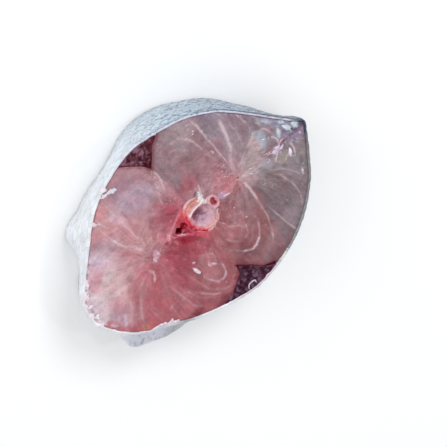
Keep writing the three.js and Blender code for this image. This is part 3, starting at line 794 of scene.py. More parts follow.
def wet_tissue(name, grain, rough, coat, soft, relief=0.5):
    """Raw wet tissue: its painted colour with a fine grain, a soft inside and a wet film."""
    mat, tree, bsdf = material_with(name)
    shown, film = attribute(tree, "shown")["Color"], attribute(tree, "film")["Fac"]
    fine, blotch = noise_node(tree, grain, 3, 0.11), noise_node(tree, 3.4, 2, 0.27)
    colour = mottle(tree, shown, ramp(tree, fine, 0.93, 1.07))
    colour = mottle(tree, colour, ramp(tree, blotch, 0.95, 1.05))
    tree.links.new(colour, bsdf.inputs["Base Color"])
    tree.links.new(ramp(tree, blotch, rough - 0.1, rough + 0.1), bsdf.inputs["Roughness"])
    tree.links.new(ramp(tree, film, 0, 0.5, 0, 1), bsdf.inputs["Specular IOR Level"])
    tree.links.new(ramp(tree, film, 0, coat, 0, 1), bsdf.inputs["Coat Weight"])
    set_inputs(bsdf, {
        "Subsurface Weight": 0.2 if soft else 0, "Subsurface Radius": (1.0, 0.55, 0.5),
        "Subsurface Scale": soft * MM, "Coat Roughness": 0.1,
    })
    bump(tree, bsdf, fine, 0.22)
    bump(tree, bsdf, noise_node(tree, 2.2, 2, 0.53), relief)
    return mat


WHITE_MUSCLE = wet_tissue("wet_white_muscle", grain=0.8, rough=0.4, coat=0.35, soft=0.8)
DARK_MUSCLE = wet_tissue("wet_dark_muscle", grain=0.6, rough=0.42, coat=0.2, soft=0.3)
BONE = wet_tissue("wet_bone", grain=0.6, rough=0.35, coat=0.4, soft=0.6, relief=0.3)
BLOOD = wet_tissue("wet_blood", grain=1.2, rough=0.3, coat=0.4, soft=0.3)
GRISTLE = wet_tissue("wet_gristle", grain=0.5, rough=0.3, coat=0.5, soft=0, relief=0.25)
SILVER_SKIN = wet_tissue("silver_skin", grain=0.7, rough=0.36, coat=0.3, soft=0, relief=0.2)
set_inputs(SILVER_SKIN.node_tree.nodes["Principled BSDF"], {"Metallic": 0.15})


# ---- White muscle ----
FLESH_GAP, WEDGE_GAP = 0.05, 0.03  # between the skin and the muscles
UNDER_BONE = 0.7  # how far the flesh reaches in under the bone's edge


def white_muscle():
    """The main flesh: a ring from the backbone to the skin, cut flat below and uneven above."""
    profile = rows(30, (0, 0), (1, 0)) + rows(7, (1, 0), (1, 1))
    profile += rows(112, (1, 1), (0, 1)) + rows(4, (0, 1), (0, 0))
    mesh, turn, share, level = bent_sheet("white_muscle", profile, FLESH_AROUND, closed=True)
    inner = bone_reach(turn) - UNDER_BONE
    x, y = round_axis(turn, inner + (side_radius(turn, level * THICKNESS, SKIN + FLESH_GAP) - inner) * share)

    strong, faint = seams_at(x, y, SEAMS, 5), seams_at(x, y, FAINT, 300)
    colour, relief = cut_colour(x, y)
    top = cut_height(x, y) + relief + 0.2 * strong - 0.1 * faint + 0.12 * streaks(x, y, 170)
    in_wedge = np.maximum(depth_inside(x, y, DARK_LEFT), depth_inside(x, y, DARK_RIGHT))
    sink = 1.6 * ease(in_wedge / 0.9)
    top = top - sink - 0.5 * ease((share - 0.985) / 0.015)
    low = 0.15 + 0.1 * cloud(x, y, 3, 14) + sink
    z = np.where(level == 1, top, np.where(level == 0, low, level * THICKNESS))

    sparkle = patches(x, y, 0.9, 21, 0.68, 0.25) * patches(x, y, 7, 22, -0.1, 0.5)
    # painted shade along the skin: a dark mauve line in the flesh, grey on the right of the back
    shade_by_skin = ease((share - 0.974) / 0.02) * ease((y + 58) / 12)
    right_back = ease((x + 2) / 3) * ease((y - 9) / 5)
    by_wedge = ease((in_wedge + 0.4 * cloud(x, y, 1.6, 69) + 1.7) / 2.0)
    colour = layered(colour, [
        ("sinew", 0.42 * faint),
        ("sinew", 0.72 * strong),
        ("film", 0.16 * sparkle),
        ((104, 48, 66), 0.8 * shade_by_skin * (1 - right_back) * (0.6 + 0.4 * cloud(x, y, 3.2, 68))),
        ((134, 126, 130), 0.6 * shade_by_skin * right_back),
        ((122, 60, 68), 0.75 * by_wedge),
    ])
    co = np.stack([x, y, z], 1)
    finish_piece(mesh, co, colour, "white_muscle", WHITE_MUSCLE, ["flesh"])


# ---- Dark muscle ----
WEDGE_CUTS = 47  # along each edge of a wedge


def dark_muscle(name, node, upper, lower, base, inner, fleck):
    """A wedge of dark muscle, from its point inside the steak to the skin, in three tints."""
    bm = bmesh.new()
    bmesh.ops.create_cube(bm, size=1, matrix=Matrix.Translation((0.5, 0.5, 0.5)))
    bmesh.ops.subdivide_edges(bm, edges=bm.edges, cuts=WEDGE_CUTS, use_grid_fill=True)
    mesh = mesh_of(bm, name)
    u, v, w = places(mesh).T
    sides = []
    for edge in (upper, lower):
        line = smooth_line(edge, 12)
        spots = np.linspace(0, 1, len(line))
        sides.append((np.interp(u, spots, line[:, 0]), np.interp(u, spots, line[:, 1])))
    (ux, uy), (lx, ly) = sides
    x, y = lx + (ux - lx) * v, ly + (uy - ly) * v
    turn, reach = np.arctan2(y, x), np.hypot(x, y)
    wall = side_radius(turn, w * THICKNESS, SKIN + WEDGE_GAP)
    x, y = round_axis(turn, np.where(u > 0.999, wall, np.minimum(reach, wall - 0.02)))
    side = np.hypot(ux - lx, uy - ly)
    edge = ease(np.minimum(np.minimum(v, 1 - v) * side / 0.9, u * 9))
    lump = 0.18 * cloud(x, y, 1.3, 71) + 0.12 * cloud(x, y, 0.7, 72)
    top = cut_height(x, y) + 0.06 + lump * edge - 0.3 * (1 - edge)
    z = np.where(w > 0.999, top, np.where(w < 0.001, 0.12 - 0.1 * edge, 0.05 + w * (THICKNESS + 0.1)))

    px, py = x + 0.8 * cloud(x, y, 1.5, 75), y + 0.8 * cloud(x, y, 1.5, 79)
    patch = cloud(px * 0.8 + py * 0.6, py * 0.8 - px * 0.6, 1.5, 77) + 0.8 * cloud(px, py, 0.8, 74)
    patch += 0.5 * cloud(px * 0.5 - py * 0.9, py * 0.5 + px * 0.9, 0.5, 80)
    flecks = ease((patch - 0.05) / 0.9) * edge * ease((u - 0.25 + 0.3 * cloud(x, y, 3, 76)) / 0.4)
    colour = layered(all_over(base, x), [
        (inner, ease((0.5 - u + 0.4 * cloud(x, y, 2.5, 73)) / 0.4)),
        ((42, 14, 24), 0.75 * ease((-patch - 0.05) / 0.8)),
        (fleck, 0.6 * flecks),
    ])
    colour = shaded(colour, 0.2 * cloud(px + 0.4 * py, py - 0.4 * px, 0.4, 83))
    blend = ease((1 - edge + 0.35 * cloud(x, y, 1.2, 78)) / 1.1)
    colour = tinted(colour, (116, 42, 56), 0.75 * blend)
    finish_piece(mesh, np.stack([x, y, z], 1), colour, name, DARK_MUSCLE, [node])


# ---- Skin ----
SCALE_AROUND, SCALE_ALONG = 4.4, 3.9  # from one scale to the next
SCALE_WIDE, SCALE_HIGH = 2.75, 4.0  # half a scale's own size
BACK_RIDGE = 91  # where the back's ridge is, in degrees round
# Torn edge folded over the flesh: degrees round, half width in degrees, mm inwards.
LIPS = [
    (304.6, 1.2, 1.8), (301.2, 2.6, 2.8), (297, 5, 2.2), (291, 5, 0.9), (284, 3, 0.6), (279.4, 1.2, 0.8),
    (274.2, 1.4, 1.5), (269, 1.8, 2.1), (264.6, 1.2, 1.2), (261, 2, 1.7), (256, 1.5, 1.5), (251, 1.3, 0.8),
    (213.5, 1.8, 1.5), (231, 1.2, 1.4), (172, 1.2, 0.8), (178, 1, 0.7), (16, 3, 0.6), (4, 4, 0.7),
]


def scales(around, z):
    """Overlapping scales: height, closeness to a scale's free edge, and a random value for each scale."""
    columns, rows = 256, 64
    chance = np.random.default_rng(4).uniform(0, 1, (columns, rows))
    height, edge, which = np.zeros((3, *z.shape))
    for k in (-1, 0, 1, 2):
        row = np.floor(z / SCALE_ALONG).astype(int) + k
        for side in (0, 1):
            column = np.floor(around / SCALE_AROUND - 0.5 * (row % 2)).astype(int) + side
            value = chance[column % columns, row % rows]
            cx = (column + 0.5 * (row % 2)) * SCALE_AROUND + 0.6 * (value - 0.5)
            cz = row * SCALE_ALONG + 0.9 * (chance[column % columns, (row + 31) % rows] - 0.5)
            d = np.hypot((around - cx) / SCALE_WIDE, (z - cz) / SCALE_HIGH)
            over = d < 1
            free = ease(((cz - z) / SCALE_HIGH / np.maximum(d, 0.01) + 0.1) / 0.7)
            height = np.where(over, 1 - ease((d - 0.2) / 0.8) * 0.75, height)
            edge = np.where(over, ease((d - 0.62) / 0.38) * (0.15 + 0.85 * free), edge)
            which = np.where(over, value, which)
    return height, edge, which


# From the back's ridge, in degrees round: the skin's tones.
TONES = [
    (0, (78, 84, 98)), (10, (112, 124, 140)), (26, (146, 164, 183)), (50, (174, 192, 209)),
    (78, (196, 211, 224)), (98, (220, 229, 238)), (125, (236, 240, 245)), (180, (238, 239, 244)),
]


def tone_at(from_back):
    """The skin's plain tone at so many degrees from the back's ridge."""
    at = [t for t, _ in TONES]
    return np.stack([np.interp(from_back, at, [linear(c)[i] for _, c in TONES]) for i in range(3)], 1)


def skin_colour(from_back, z, around, edge, which):
    """Blue grey on the back with dark dashes, silver on the flanks and white on the belly."""
    pigment = ease((118 - from_back) / 75)
    broken = patches(around, z * 1.6, 2.0, 41, -0.45, 0.5)
    dash = pigment * ease((edge - 0.06) / 0.4) * np.where(which > 0.25, 1.0, 0.4) * broken
    below_rim, reach = THICKNESS - z, between(from_back, 3, 8, 74, 22)
    for depth, strength in ((1.6, 0.9), (3.4, 1.0), (5.6, 0.75), (8.2, 0.5)):
        line = fall(below_rim - depth - 0.7 * cloud(around, around * 0, 7, 42), 0.4)
        dash = np.maximum(dash, strength * line * reach * (0.55 + 0.45 * cloud(around, z, 3.2, 43)))
    specks = pigment * patches(around, z, 0.8, 44, 0.45, 0.2)
    shine = patches(around * 0.5, z * 1.7, 0.9, 45, 0.5, 0.3)
    colour = layered(tone_at(from_back), [
        ((62, 76, 106), 0.95 * dash),
        ((56, 66, 88), 0.8 * specks),
        ((240, 244, 250), 0.5 * shine),
        ((186, 196, 208), 0.45 * (1 - pigment) * ease((edge - 0.3) / 0.5) * broken),
        ((112, 122, 132), 0.5 * pigment * ease((9 - z) / 9)),
    ])
    return colour * (1 + 0.14 * (which - 0.5) * (1 - edge) + 0.06 * cloud(around, z, 5, 46))[:, None]


def belly_flap(colour, degrees, around, z):
    """The loose skin at the right of the belly: darker, in shade, with short dark streaks."""
    loose = between(degrees, 283, 9, 320, 12)
    streak = patches(around * 1.5 + z * 1.1, z * 0.3 - around * 0.35, 0.8, 47, 0.35, 0.3)
    return layered(colour, [
        ((200, 200, 214), 0.8 * loose),
        ((112, 122, 144), 0.6 * loose * streak),
        ((140, 144, 146), 0.7 * ease((degrees - 298) / 8) * loose * ease((z - 20) / 6)),
    ])


def rim_tint(colour, degrees, from_back, out, white, flap):
    """The skin's cut edge: lilac white on the left, warm grey and cream on the right, white where torn."""
    left, right = between(degrees, 91, 6, 215, 20), between(degrees, 24, 3, 88, 8)
    low = between(degrees, -22, 8, 14, 3) + ease((degrees - 338) / 8)
    folded = flap * np.where(degrees > 288, ease((0.5 - out) / 0.4), 1)
    return layered(colour, [
        ((62, 70, 92), 0.8 * left * ease((62 - from_back) / 30) * ease((out - 0.6) / 0.25)),
        ((96, 104, 130), 0.6 * left * ease((110 - from_back) / 30) * ease((out - 0.75) / 0.2)),
        ((220, 214, 232), left * (0.65 + 0.3 * white) * ease((0.8 - out) / 0.3)),
        ((142, 134, 134), 0.8 * right),
        ((234, 226, 212), 0.95 * bell((degrees - 19) / 7)),
        ((216, 198, 210), 0.85 * np.clip(low, 0, 1)),
        ((242, 230, 238), np.maximum(folded, 0.5 * white * ease((from_back - 60) / 40))),
    ])


def scaled_skin():
    """The skin: a closed band with scales outside and a torn lip that lies over the flesh's edge."""
    profile = rows(70, (1, 0), (1, 1)) + rows(7, (1, 1), (0, 1))
    profile += rows(6, (0, 1), (0, 0)) + rows(2, (0, 0), (1, 0))
    mesh, turn, out, level = bent_sheet("scaled_skin", profile, SKIN_AROUND, closed=True)
    degrees = np.degrees(turn) % 360
    from_back = np.abs(degrees_off(degrees, BACK_RIDGE))

    def along_rim(size, seed):
        return cloud(degrees, degrees * 0, size, seed)

    ragged = 0.18 * along_rim(1.3, 31) + 0.2 * along_rim(4.5, 32)
    ragged = np.where(degrees > 359.9, ragged * 0, ragged)
    z = 0.3 + level * (THICKNESS - 0.45 + ragged)

    steps = np.linspace(-math.pi, math.pi, 721)
    run = np.concatenate([[0], np.cumsum(edge_radius(steps[1:]) * 2 * math.pi / 720)])
    around = np.interp(turn, steps, run)
    height, edge, which = scales(around, z)
    outside, on_top = out == 1, level == 1
    wall = side_radius(turn, z, 0) + np.where(outside, 0.22 * (height - 1), 0)
    lip = 0.42 + 0.1 * along_rim(4, 33)
    for at, half, reach in LIPS:
        off = np.abs(degrees_off(degrees, at)) / half
        fold = np.clip(1.25 * (1 - off), 0, 1) * (1 + 0.2 * along_rim(0.8, 34))
        lip = np.maximum(lip, reach * fold)
    thick = side_radius(turn, z, 0) - side_radius(turn, z, SKIN)
    x, y = round_axis(turn, wall - (1 - out) * np.where(on_top, thick + lip, thick))
    covered = np.maximum(cut_height(x, y) + 0.24, z)
    lifted = z + (covered - z) * ease((1 - out) * 2) + 0.1 * np.sin(math.pi * out)
    lifted = lifted - 1.2 * ease((0.13 - out) / 0.13)
    z = np.where(on_top & (out < 1), lifted, z)

    colour = belly_flap(skin_colour(from_back, z, around, edge, which), degrees, around, z)
    flap = ease((lip - 0.75) / 0.4) * ease((from_back - 100) / 10)
    white = ease((along_rim(3.5, 35) - 0.1) / 0.5)
    rim = on_top | (level > 0.985)
    colour = np.where(rim[:, None], rim_tint(colour, degrees, from_back, out, white, flap), colour)
    finish_piece(mesh, np.stack([x, y, z], 1), colour, "scaled_skin", SILVER_SKIN, ["skin"])


# ---- Backbone ----
NERVE_CANAL = [(-2.75, 6.1, 1.1, 1.0, 0), (-1.05, 6.0, 1.0, 1.1, 0), (-1.9, 5.3, 1.3, 1.0, 0)]
GAPS = [(0, -8.6, 0.9, 0.35, 0), (2.1, -7.9, 0.9, 0.4, 25), (4.8, -5.1, 1.0, 0.4, 50)]  # in the red rim
WHITE_RIDGE = [(-5.9, 2.8), (-5.1, -0.5), (-4.8, -3.2), (-4.3, -6.1)]  # left of the cup
ARCH_RING = (-1.9, 5.9, 2.5, 2.3)  # round the upper arch's canal
# Marks of the bone and of its cup: as the muscle's. The cup's dark marks on its left are painted shade, and
# its pale marks on the right painted highlights.
BONE_SPOTS = [
    (-0.6, 4.2, 3.4, 1.5, -10, (224, 180, 190), 0.8), (-5.6, 3.2, 1.7, 1.4, -20, (214, 204, 204), 0.85),
]
BONE_STROKES = [
    ([(-7.5, 1.6), (-7.7, -1.6), (-6.6, -5.4)], 1.0, (216, 140, 124), 0.85),
    ([(-8.9, 1), (-9.2, -2), (-8.5, -5.4), (-6.4, -8.2)], 0.6, (238, 196, 194), 0.9),
    ([(-7.2, 0.4), (-7.1, -3), (-6.1, -6)], 0.4, (230, 178, 164), 0.7),
    ([(-6.6, -5), (-6.2, -6.8), (-5, -8)], 0.8, (218, 104, 100), 0.7),
    (WHITE_RIDGE, 0.55, (250, 236, 234), 1.0),
    ([(3.2, 3.4), (5.0, 0.6), (5.4, -2), (4.6, -4.2)], 0.6, (230, 176, 170), 0.85),
    ([(3.6, 3.8), (5.8, 0.6), (6.3, -2.2), (5.4, -4.4)], 0.45, (226, 124, 128), 0.85),
    ([(-5.4, -7.2), (-3.3, -7.7), (-0.4, -7.9), (2.5, -6.9), (4.4, -5.4), (6.2, -3.6)], 0.85,
     "fresh blood", 1.0),
    ([(-5.4, -8.5), (-2.6, -9.1), (-0.6, -9)], 0.7, (196, 28, 54), 0.9),
]
CUP_SPOTS = [
    (-2.2, 1.8, 2.6, 1.3, -20, (196, 152, 160), 0.8),
    # painted shade: the dark marks on the cup's left
    (-3.0, -2.8, 1.6, 3.0, 10, (118, 60, 78), 0.95), (-1.9, -1.2, 1.3, 1.8, 30, (146, 94, 112), 0.75),
    (-1.2, -4.6, 1.8, 1.0, -30, (146, 88, 104), 0.75), (0.6, 1.2, 1.6, 1.2, 0, (222, 186, 198), 0.7),
    (-3.0, 0.8, 1.2, 1.4, 0, (168, 118, 128), 0.7),
    # painted highlights: the pale marks at the cup's right
    (1.8, -1.4, 1.6, 2.0, 0, (212, 176, 196), 0.9), (3.4, -1.4, 1.1, 2.0, 0, (228, 186, 196), 0.8),
    (-0.2, -6.2, 3, 1.0, 8, (214, 158, 166), 0.8), (2.4, -4.8, 1.8, 0.7, 35, (228, 200, 210), 0.7),
]
CUP_STROKES = [
    ([(0.6, 0.3), (-0.2, -1.8), (-0.7, -3.6)], 0.35, (142, 104, 142), 0.75),
    ([(2, -2.4), (1.2, -3.6), (0.2, -4.6)], 0.3, (160, 124, 156), 0.6),
    ([(-3.2, 1.6), (-1.2, 1.2), (1, 2)], 0.4, (228, 196, 204), 0.7),
]


def nerve_canal(x, y):
    """How far inside the heart-shaped canal of the upper arch each place is, from 0 to 1."""
    return np.max([ease((1.08 - oval(x, y, *part)) / 0.5) for part in NERVE_CANAL], axis=0)


def blood_hole(x, y):
    """How far inside the four-cornered blood vessel each place is, from 0 to 1."""
    return ease((1.15 - np.abs(x + 2.65) / 1.5 - np.abs(y + 13.3) / 1.8) / 0.35)


def bone_colour(x, y, cup):
    """Wet bone: a lilac cup with a pale rim, a rosy side pit and blood round its foot."""
    colour = layered(all_over("bone pink", x), [
        ((204, 138, 150), 0.8 * ease((y - 5) / 2)),
        ("stain", 0.85 * ease((-8.8 - y) / 1)),
        ("bone pale", 0.9 * fall(cup - 1.08, 0.14) * ease((x + 1) / 3)),
    ])
    inside = ease((np.where(x > 1, 0.93, 1.0) - cup) / 0.16)
    # the cup's paint holds painted shade on its left and painted highlights on its right
    hollow = marked(all_over("marrow", x), x, y, CUP_SPOTS, CUP_STROKES, 0.6)
    hollow = shaded(hollow, 0.16 * cloud(np.arctan2(y + 2, x) * 3, cup * 2, 1.0, 85))
    colour = blended(colour, hollow, inside)
    arch = fall(oval(x, y, *ARCH_RING) - 1.02, 0.2)
    colour = tinted(colour, (234, 182, 190), 0.9 * arch * ease((y - 3.4) / 2))
    colour = marked(colour, x, y, BONE_SPOTS, BONE_STROKES, 0.18)
    for gap in GAPS:
        colour = tinted(colour, "old blood", 0.85 * bell(oval(x, y, *gap) / 1.5))
    colour = marked(colour, x, y, BLOODY_SPOTS, BLOODY_STROKES)
    colour = tinted(colour, (186, 84, 100), nerve_canal(x, y))
    colour = tinted(colour, (120, 4, 18), blood_hole(x, y))
    return colour * (1 + 0.1 * cloud(x, y, 0.9, 88) + 0.08 * cloud(x, y, 0.5, 89))[:, None]


def backbone():
    """One piece of bone from cut to cut: the drum with a cup in each end, and the arches' canals."""
    profile = rows(92, (0, 1), (1, 1)) + rows(5, (1, 1), (1, 0)) + rows(44, (1, 0), (0, 0)) + [(0, 0)]
    mesh, turn, share, level = bent_sheet("backbone", profile, BONE_AROUND, closed=False)
    x, y = round_axis(turn, bone_reach(turn) * share)
    cup = oval(x, y, *CUP.values())
    on_drum = ease((1.06 - oval(x, y, *CENTRUM.values())) / 0.1)

    rise = BONE_PROUD * on_drum + 0.4 * fall(cup - 1.1, 0.12) * on_drum
    rise += 0.45 * fall(away_from(x, y, WHITE_RIDGE), 0.55)
    rise += 0.25 * fall(oval(x, y, *ARCH_RING) - 1.05, 0.25)
    rise -= CUP_DEPTH * np.clip(1 - cup, 0, 1) ** 0.85
    rise -= 1.1 * bell(oval(x, y, -7.3, -1.8, 1.4, 4.8, 4))
    rise -= 1.5 * nerve_canal(x, y) + 3.6 * blood_hole(x, y)
    blood_bed = bell(oval(x, y, -2.9, -10.6, 2.2, 1.9) / 1.2)
    rise -= blood_bed + 0.6 * bell(oval(x, y, 1.4, -12, 3, 3.4, -24) / 1.2)
    for gap in GAPS:
        rise -= 0.6 * bell(oval(x, y, *gap) / 1.4)
    rise += 0.14 * cloud(x, y, 1.3, 81) + 0.08 * cloud(x, y, 0.6, 82)
    rim = ease((share - 0.93) / 0.07)
    top = face_height(x, y) + rise * (1 - rim) - 0.55 * rim
    bottom = np.maximum(0.02, 0.4 - rise + 0.3 * rim)
    z = np.where(level == 1, top, np.where(level == 0, bottom, 0.5 + level * (THICKNESS - 1.2)))

    soft_rim = ease((share - 0.84) / 0.13) * np.where(on_drum > 0.5, 0.2, 0.9)
    colour = blended(bone_colour(x, y, cup), cut_colour(x, y)[0], soft_rim)
    finish_piece(mesh, np.stack([x, y, z], 1), colour, "backbone", BONE, ["vertebra"])


STRAND_SIDES = 8


def strand(bm, line, wide, high):
    """A closed strand along points, with its half width and half height at each point."""
    ring = bmesh.ops.create_circle(bm, cap_ends=True, radius=1, segments=STRAND_SIDES)["verts"]
    edges = list({e for v in ring for e in v.link_edges})
    shape = np.array([v.co for v in ring])

    def put(verts, k):
        ahead = line[min(k + 1, len(line) - 1)] - line[max(k - 1, 0)]
        ahead = ahead / max(np.linalg.norm(ahead), 1e-6)
        side = np.cross((0, 0, 1), ahead)
        side = side / max(np.linalg.norm(side), 1e-6)
        up = np.cross(ahead, side)
        for v, (a, b, _) in zip(verts, shape):
            v.co = Vector(line[k] + side * a * wide[k] + up * b * high[k])

    put(ring, 0)
    for k in range(1, len(line)):
        made = bmesh.ops.extrude_edge_only(bm, edges=edges)["geom"]
        edges = [g for g in made if isinstance(g, bmesh.types.BMEdge)]
        put([g for g in made if isinstance(g, bmesh.types.BMVert)], k)
    bmesh.ops.contextual_create(bm, geom=edges)


def strands(name, material, items, nodes=(), rough=0.12):
    """Strands half sunk in the upper cut, and again in the lower one.

    Of each: path, half width, half height, how far the top stands out, tint.
    """
    bm = bmesh.new()
    shades = []
    for path, width, height, proud, tint in items:
        line = smooth_line(path, 6)
        taper = 0.25 + 0.75 * np.sin(np.linspace(0.12, math.pi - 0.12, len(line))) ** 0.6
        lumps = 1 + 0.25 * cloud(line[:, 0], line[:, 1], 1.1, 93)
        along = np.linspace(0, 1, len(line))
        wide = np.interp(along, np.linspace(0, 1, len(width)), width) * taper * lumps
        upper = cut_height(line[:, 0], line[:, 1]) + proud - height
        for z in (upper, np.full(len(line), height + 0.03)):
            start = len(bm.verts)
            placed = np.stack([line[:, 0], line[:, 1], z], 1)
            strand(bm, placed, wide, np.full(len(line), height) * taper)
            shades += [linear(tint)] * (len(bm.verts) - start)
    mesh = mesh_of(bm, name)
    co = places(mesh)
    colour = shaded(np.array(shades), rough * cloud(co[:, 0], co[:, 1], 0.8, 91))
    co[:, 2] += np.where(co[:, 2] > 5, 0.1 * cloud(co[:, 0], co[:, 1], 0.8, 92), 0)
    finish_piece(mesh, co, melted(co, colour, 0.22), name, material, nodes)


def melted(co, colour, height):
    """Colours that pass over into the muscle's where a thin bit goes down into it."""
    out_of_it = ease((co[:, 2] - cut_height(co[:, 0], co[:, 1])) / height + 0.1)
    return blended(cut_colour(co[:, 0], co[:, 1])[0], colour, out_of_it)


def backbone_spines():
    """The cut edges of the upper and lower spines."""
    items = [
        ([(-1.8, 8.4), (-1.3, 10.4), (-0.2, 12.8)], [1.6, 1.5, 0.4], 0.6, 0.22, (192, 156, 184)),
        ([(-0.6, 10.4), (-0.2, 12), (0.1, 13)], [0.3, 0.35, 0.2], 0.4, 0.34, (224, 208, 222)),
        ([(-1.0, 12.5), (-1.7, 16), (-2.0, 20)], [0.6, 0.9, 0.7], 0.5, 0.14, (198, 142, 150)),
        ([(-0.9, 20.8), (-0.6, 22.6), (0.2, 24)], [0.9, 1.1, 0.4], 0.4, 0.25, (210, 178, 184)),
        ([(-3.0, -17.6), (-3.2, -21), (-1.8, -25), (-0.8, -28.2)], [0.9, 0.8, 0.6, 0.4], 0.5, 0.14,
         (200, 142, 150)),
    ]
    strands("backbone_spines", BONE, items)


def plug(name, node, x, y, radius, sunk, tint):
    """A soft core in a canal of the backbone, rounded at both ends and sunk under both cuts."""
    bm = bmesh.new()
    middle = THICKNESS / 2
    for v in bmesh.ops.create_uvsphere(bm, u_segments=20, v_segments=12, radius=1)["verts"]:
        end = 1 if v.co.z > 0 else -1
        reach = middle - sunk - radius * 0.5
        z = middle + end * reach + radius * 0.5 * v.co.z
        v.co = Vector((x + radius * v.co.x, y + radius * v.co.y, z))
    mesh = mesh_of(bm, name)
    co = places(mesh)
    colour = shaded(all_over(tint, co), 0.2 * cloud(co[:, 0], co[:, 1], 0.8, 96))
    finish_piece(mesh, co, colour, name, BLOOD, [node])


# ---- Gristle under the back ridge ----
TWIGS = 26


def fin_gristle():
    """Torn gristle of the fin: a pale knob, broken strands above and below it, and fine twigs."""
    items = [
        ([(0.2, 38.2), (0.9, 39.6), (0.2, 41.2)], [0.7, 1.1, 0.8], 0.6, 0.5, (214, 196, 216)),
        ([(0.4, 40.6), (1.4, 42.2), (0.9, 44.2)], [0.7, 1.0, 0.6], 0.55, 0.5, (206, 186, 208)),
        ([(-0.6, 40.4), (0.2, 41.6), (-0.2, 43)], [0.3, 0.5, 0.3], 0.4, 0.4, (232, 216, 230)),
        ([(0.2, 42.2), (-0.9, 44.2), (-0.8, 46.6)], [0.4, 0.45, 0.3], 0.4, 0.3, (212, 178, 190)),
        ([(3.6, 45.2), (5.2, 44.6), (6.5, 43.4)], [0.5, 0.85, 0.5], 0.5, 0.5, (234, 222, 234)),
        ([(2.4, 46.9), (4.6, 46.9), (7, 46.1)], [0.3, 0.4, 0.3], 0.35, 0.3, (222, 198, 208)),
        ([(-0.4, 42.6), (-2.6, 43.6), (-5.2, 42.8)], [0.4, 0.35, 0.3], 0.35, 0.3, (214, 194, 208)),
        ([(-2.2, 44.6), (-4.4, 45.8), (-6.6, 46.4)], [0.6, 0.7, 0.4], 0.4, 0.35, (210, 216, 222)),
        ([(-0.1, 38.4), (-1.0, 36.4), (-1.9, 34)], [0.3, 0.34, 0.2], 0.3, 0.2, (214, 186, 192)),
        ([(0.3, 38.2), (-0.3, 36.4), (0.1, 34)], [0.3, 0.3, 0.2], 0.3, 0.18, (206, 176, 184)),
        ([(1.5, 39.6), (2.7, 38.9), (4.2, 36.8)], [0.3, 0.3, 0.2], 0.3, 0.28, (222, 204, 210)),
    ]
    tints = [(206, 164, 180), (222, 214, 228), (196, 184, 200), (190, 120, 136), (214, 196, 210)]
    chance = np.random.default_rng(12)
    for _ in range(TWIGS):
        start = np.array([chance.normal(0.4, 2.0), chance.uniform(36, 51)])
        turn, length = math.radians(chance.normal(75, 40)), chance.uniform(0.8, 2.4)
        heading = np.array([math.cos(turn), math.sin(turn)])
        bend = np.array([-heading[1], heading[0]]) * chance.uniform(-0.3, 0.3) * length
        path = [tuple(start), tuple(start + heading * length * 0.5 + bend), tuple(start + heading * length)]
        half = chance.uniform(0.14, 0.26)
        proud, tint = chance.uniform(0.08, 0.2), tints[chance.integers(0, len(tints))]
        items.append((path, [half, half * 0.8], 0.2, proud, tint))
    strands("fin_gristle", GRISTLE, items, ["fin_bone"], rough=0.2)


def membrane_curl():
    path = [(38.6, -7.4), (37.3, -6.4), (36.9, -4.6), (37.5, -3.0), (38.6, -3.2)]
    strands("curled_membrane", GRISTLE, [(path, [0.34, 0.4], 0.35, 0.7, (206, 198, 216))],
            ["membrane_curl"])


# ---- Scraps ----
def scraps(name, material, items, seed, melt):
    """Thin crumpled bits on the cut: centre, half length, half width, turn in degrees, rise and tint."""
    bm = bmesh.new()
    for k, (x, y, long, wide, turn, rise, _) in enumerate(items):
        verts = bmesh.ops.create_uvsphere(bm, u_segments=40, v_segments=18, radius=1)["verts"]
        co = np.array([v.co for v in verts])
        ragged = 1 + 0.5 * cloud(co[:, 0] * 1.9 + 9 * k, co[:, 1] * 1.9, 0.8, seed)
        u, v = co[:, 0] * long * ragged, co[:, 1] * wide * ragged
        c, s = math.cos(math.radians(turn)), math.sin(math.radians(turn))
        px, py = x + u * c - v * s, y + u * s + v * c
        crumple = 1 + 0.6 * cloud(px, py, 0.6, seed + 1)
        pz = cut_height(px, py) + np.where(co[:, 2] > 0, rise * crumple, 0.5) * co[:, 2]
        for vert, place in zip(verts, np.stack([px, py, pz], 1)):
            vert.co = Vector(place)
    mesh = mesh_of(bm, name)
    co = places(mesh)
    shades = np.repeat([linear(item[-1]) for item in items], len(co) // len(items), 0)
    colour = shaded(shades, 0.14 * cloud(co[:, 0], co[:, 1], 0.7, seed + 2))
    finish_piece(mesh, co, melted(co, colour, melt), name, material)


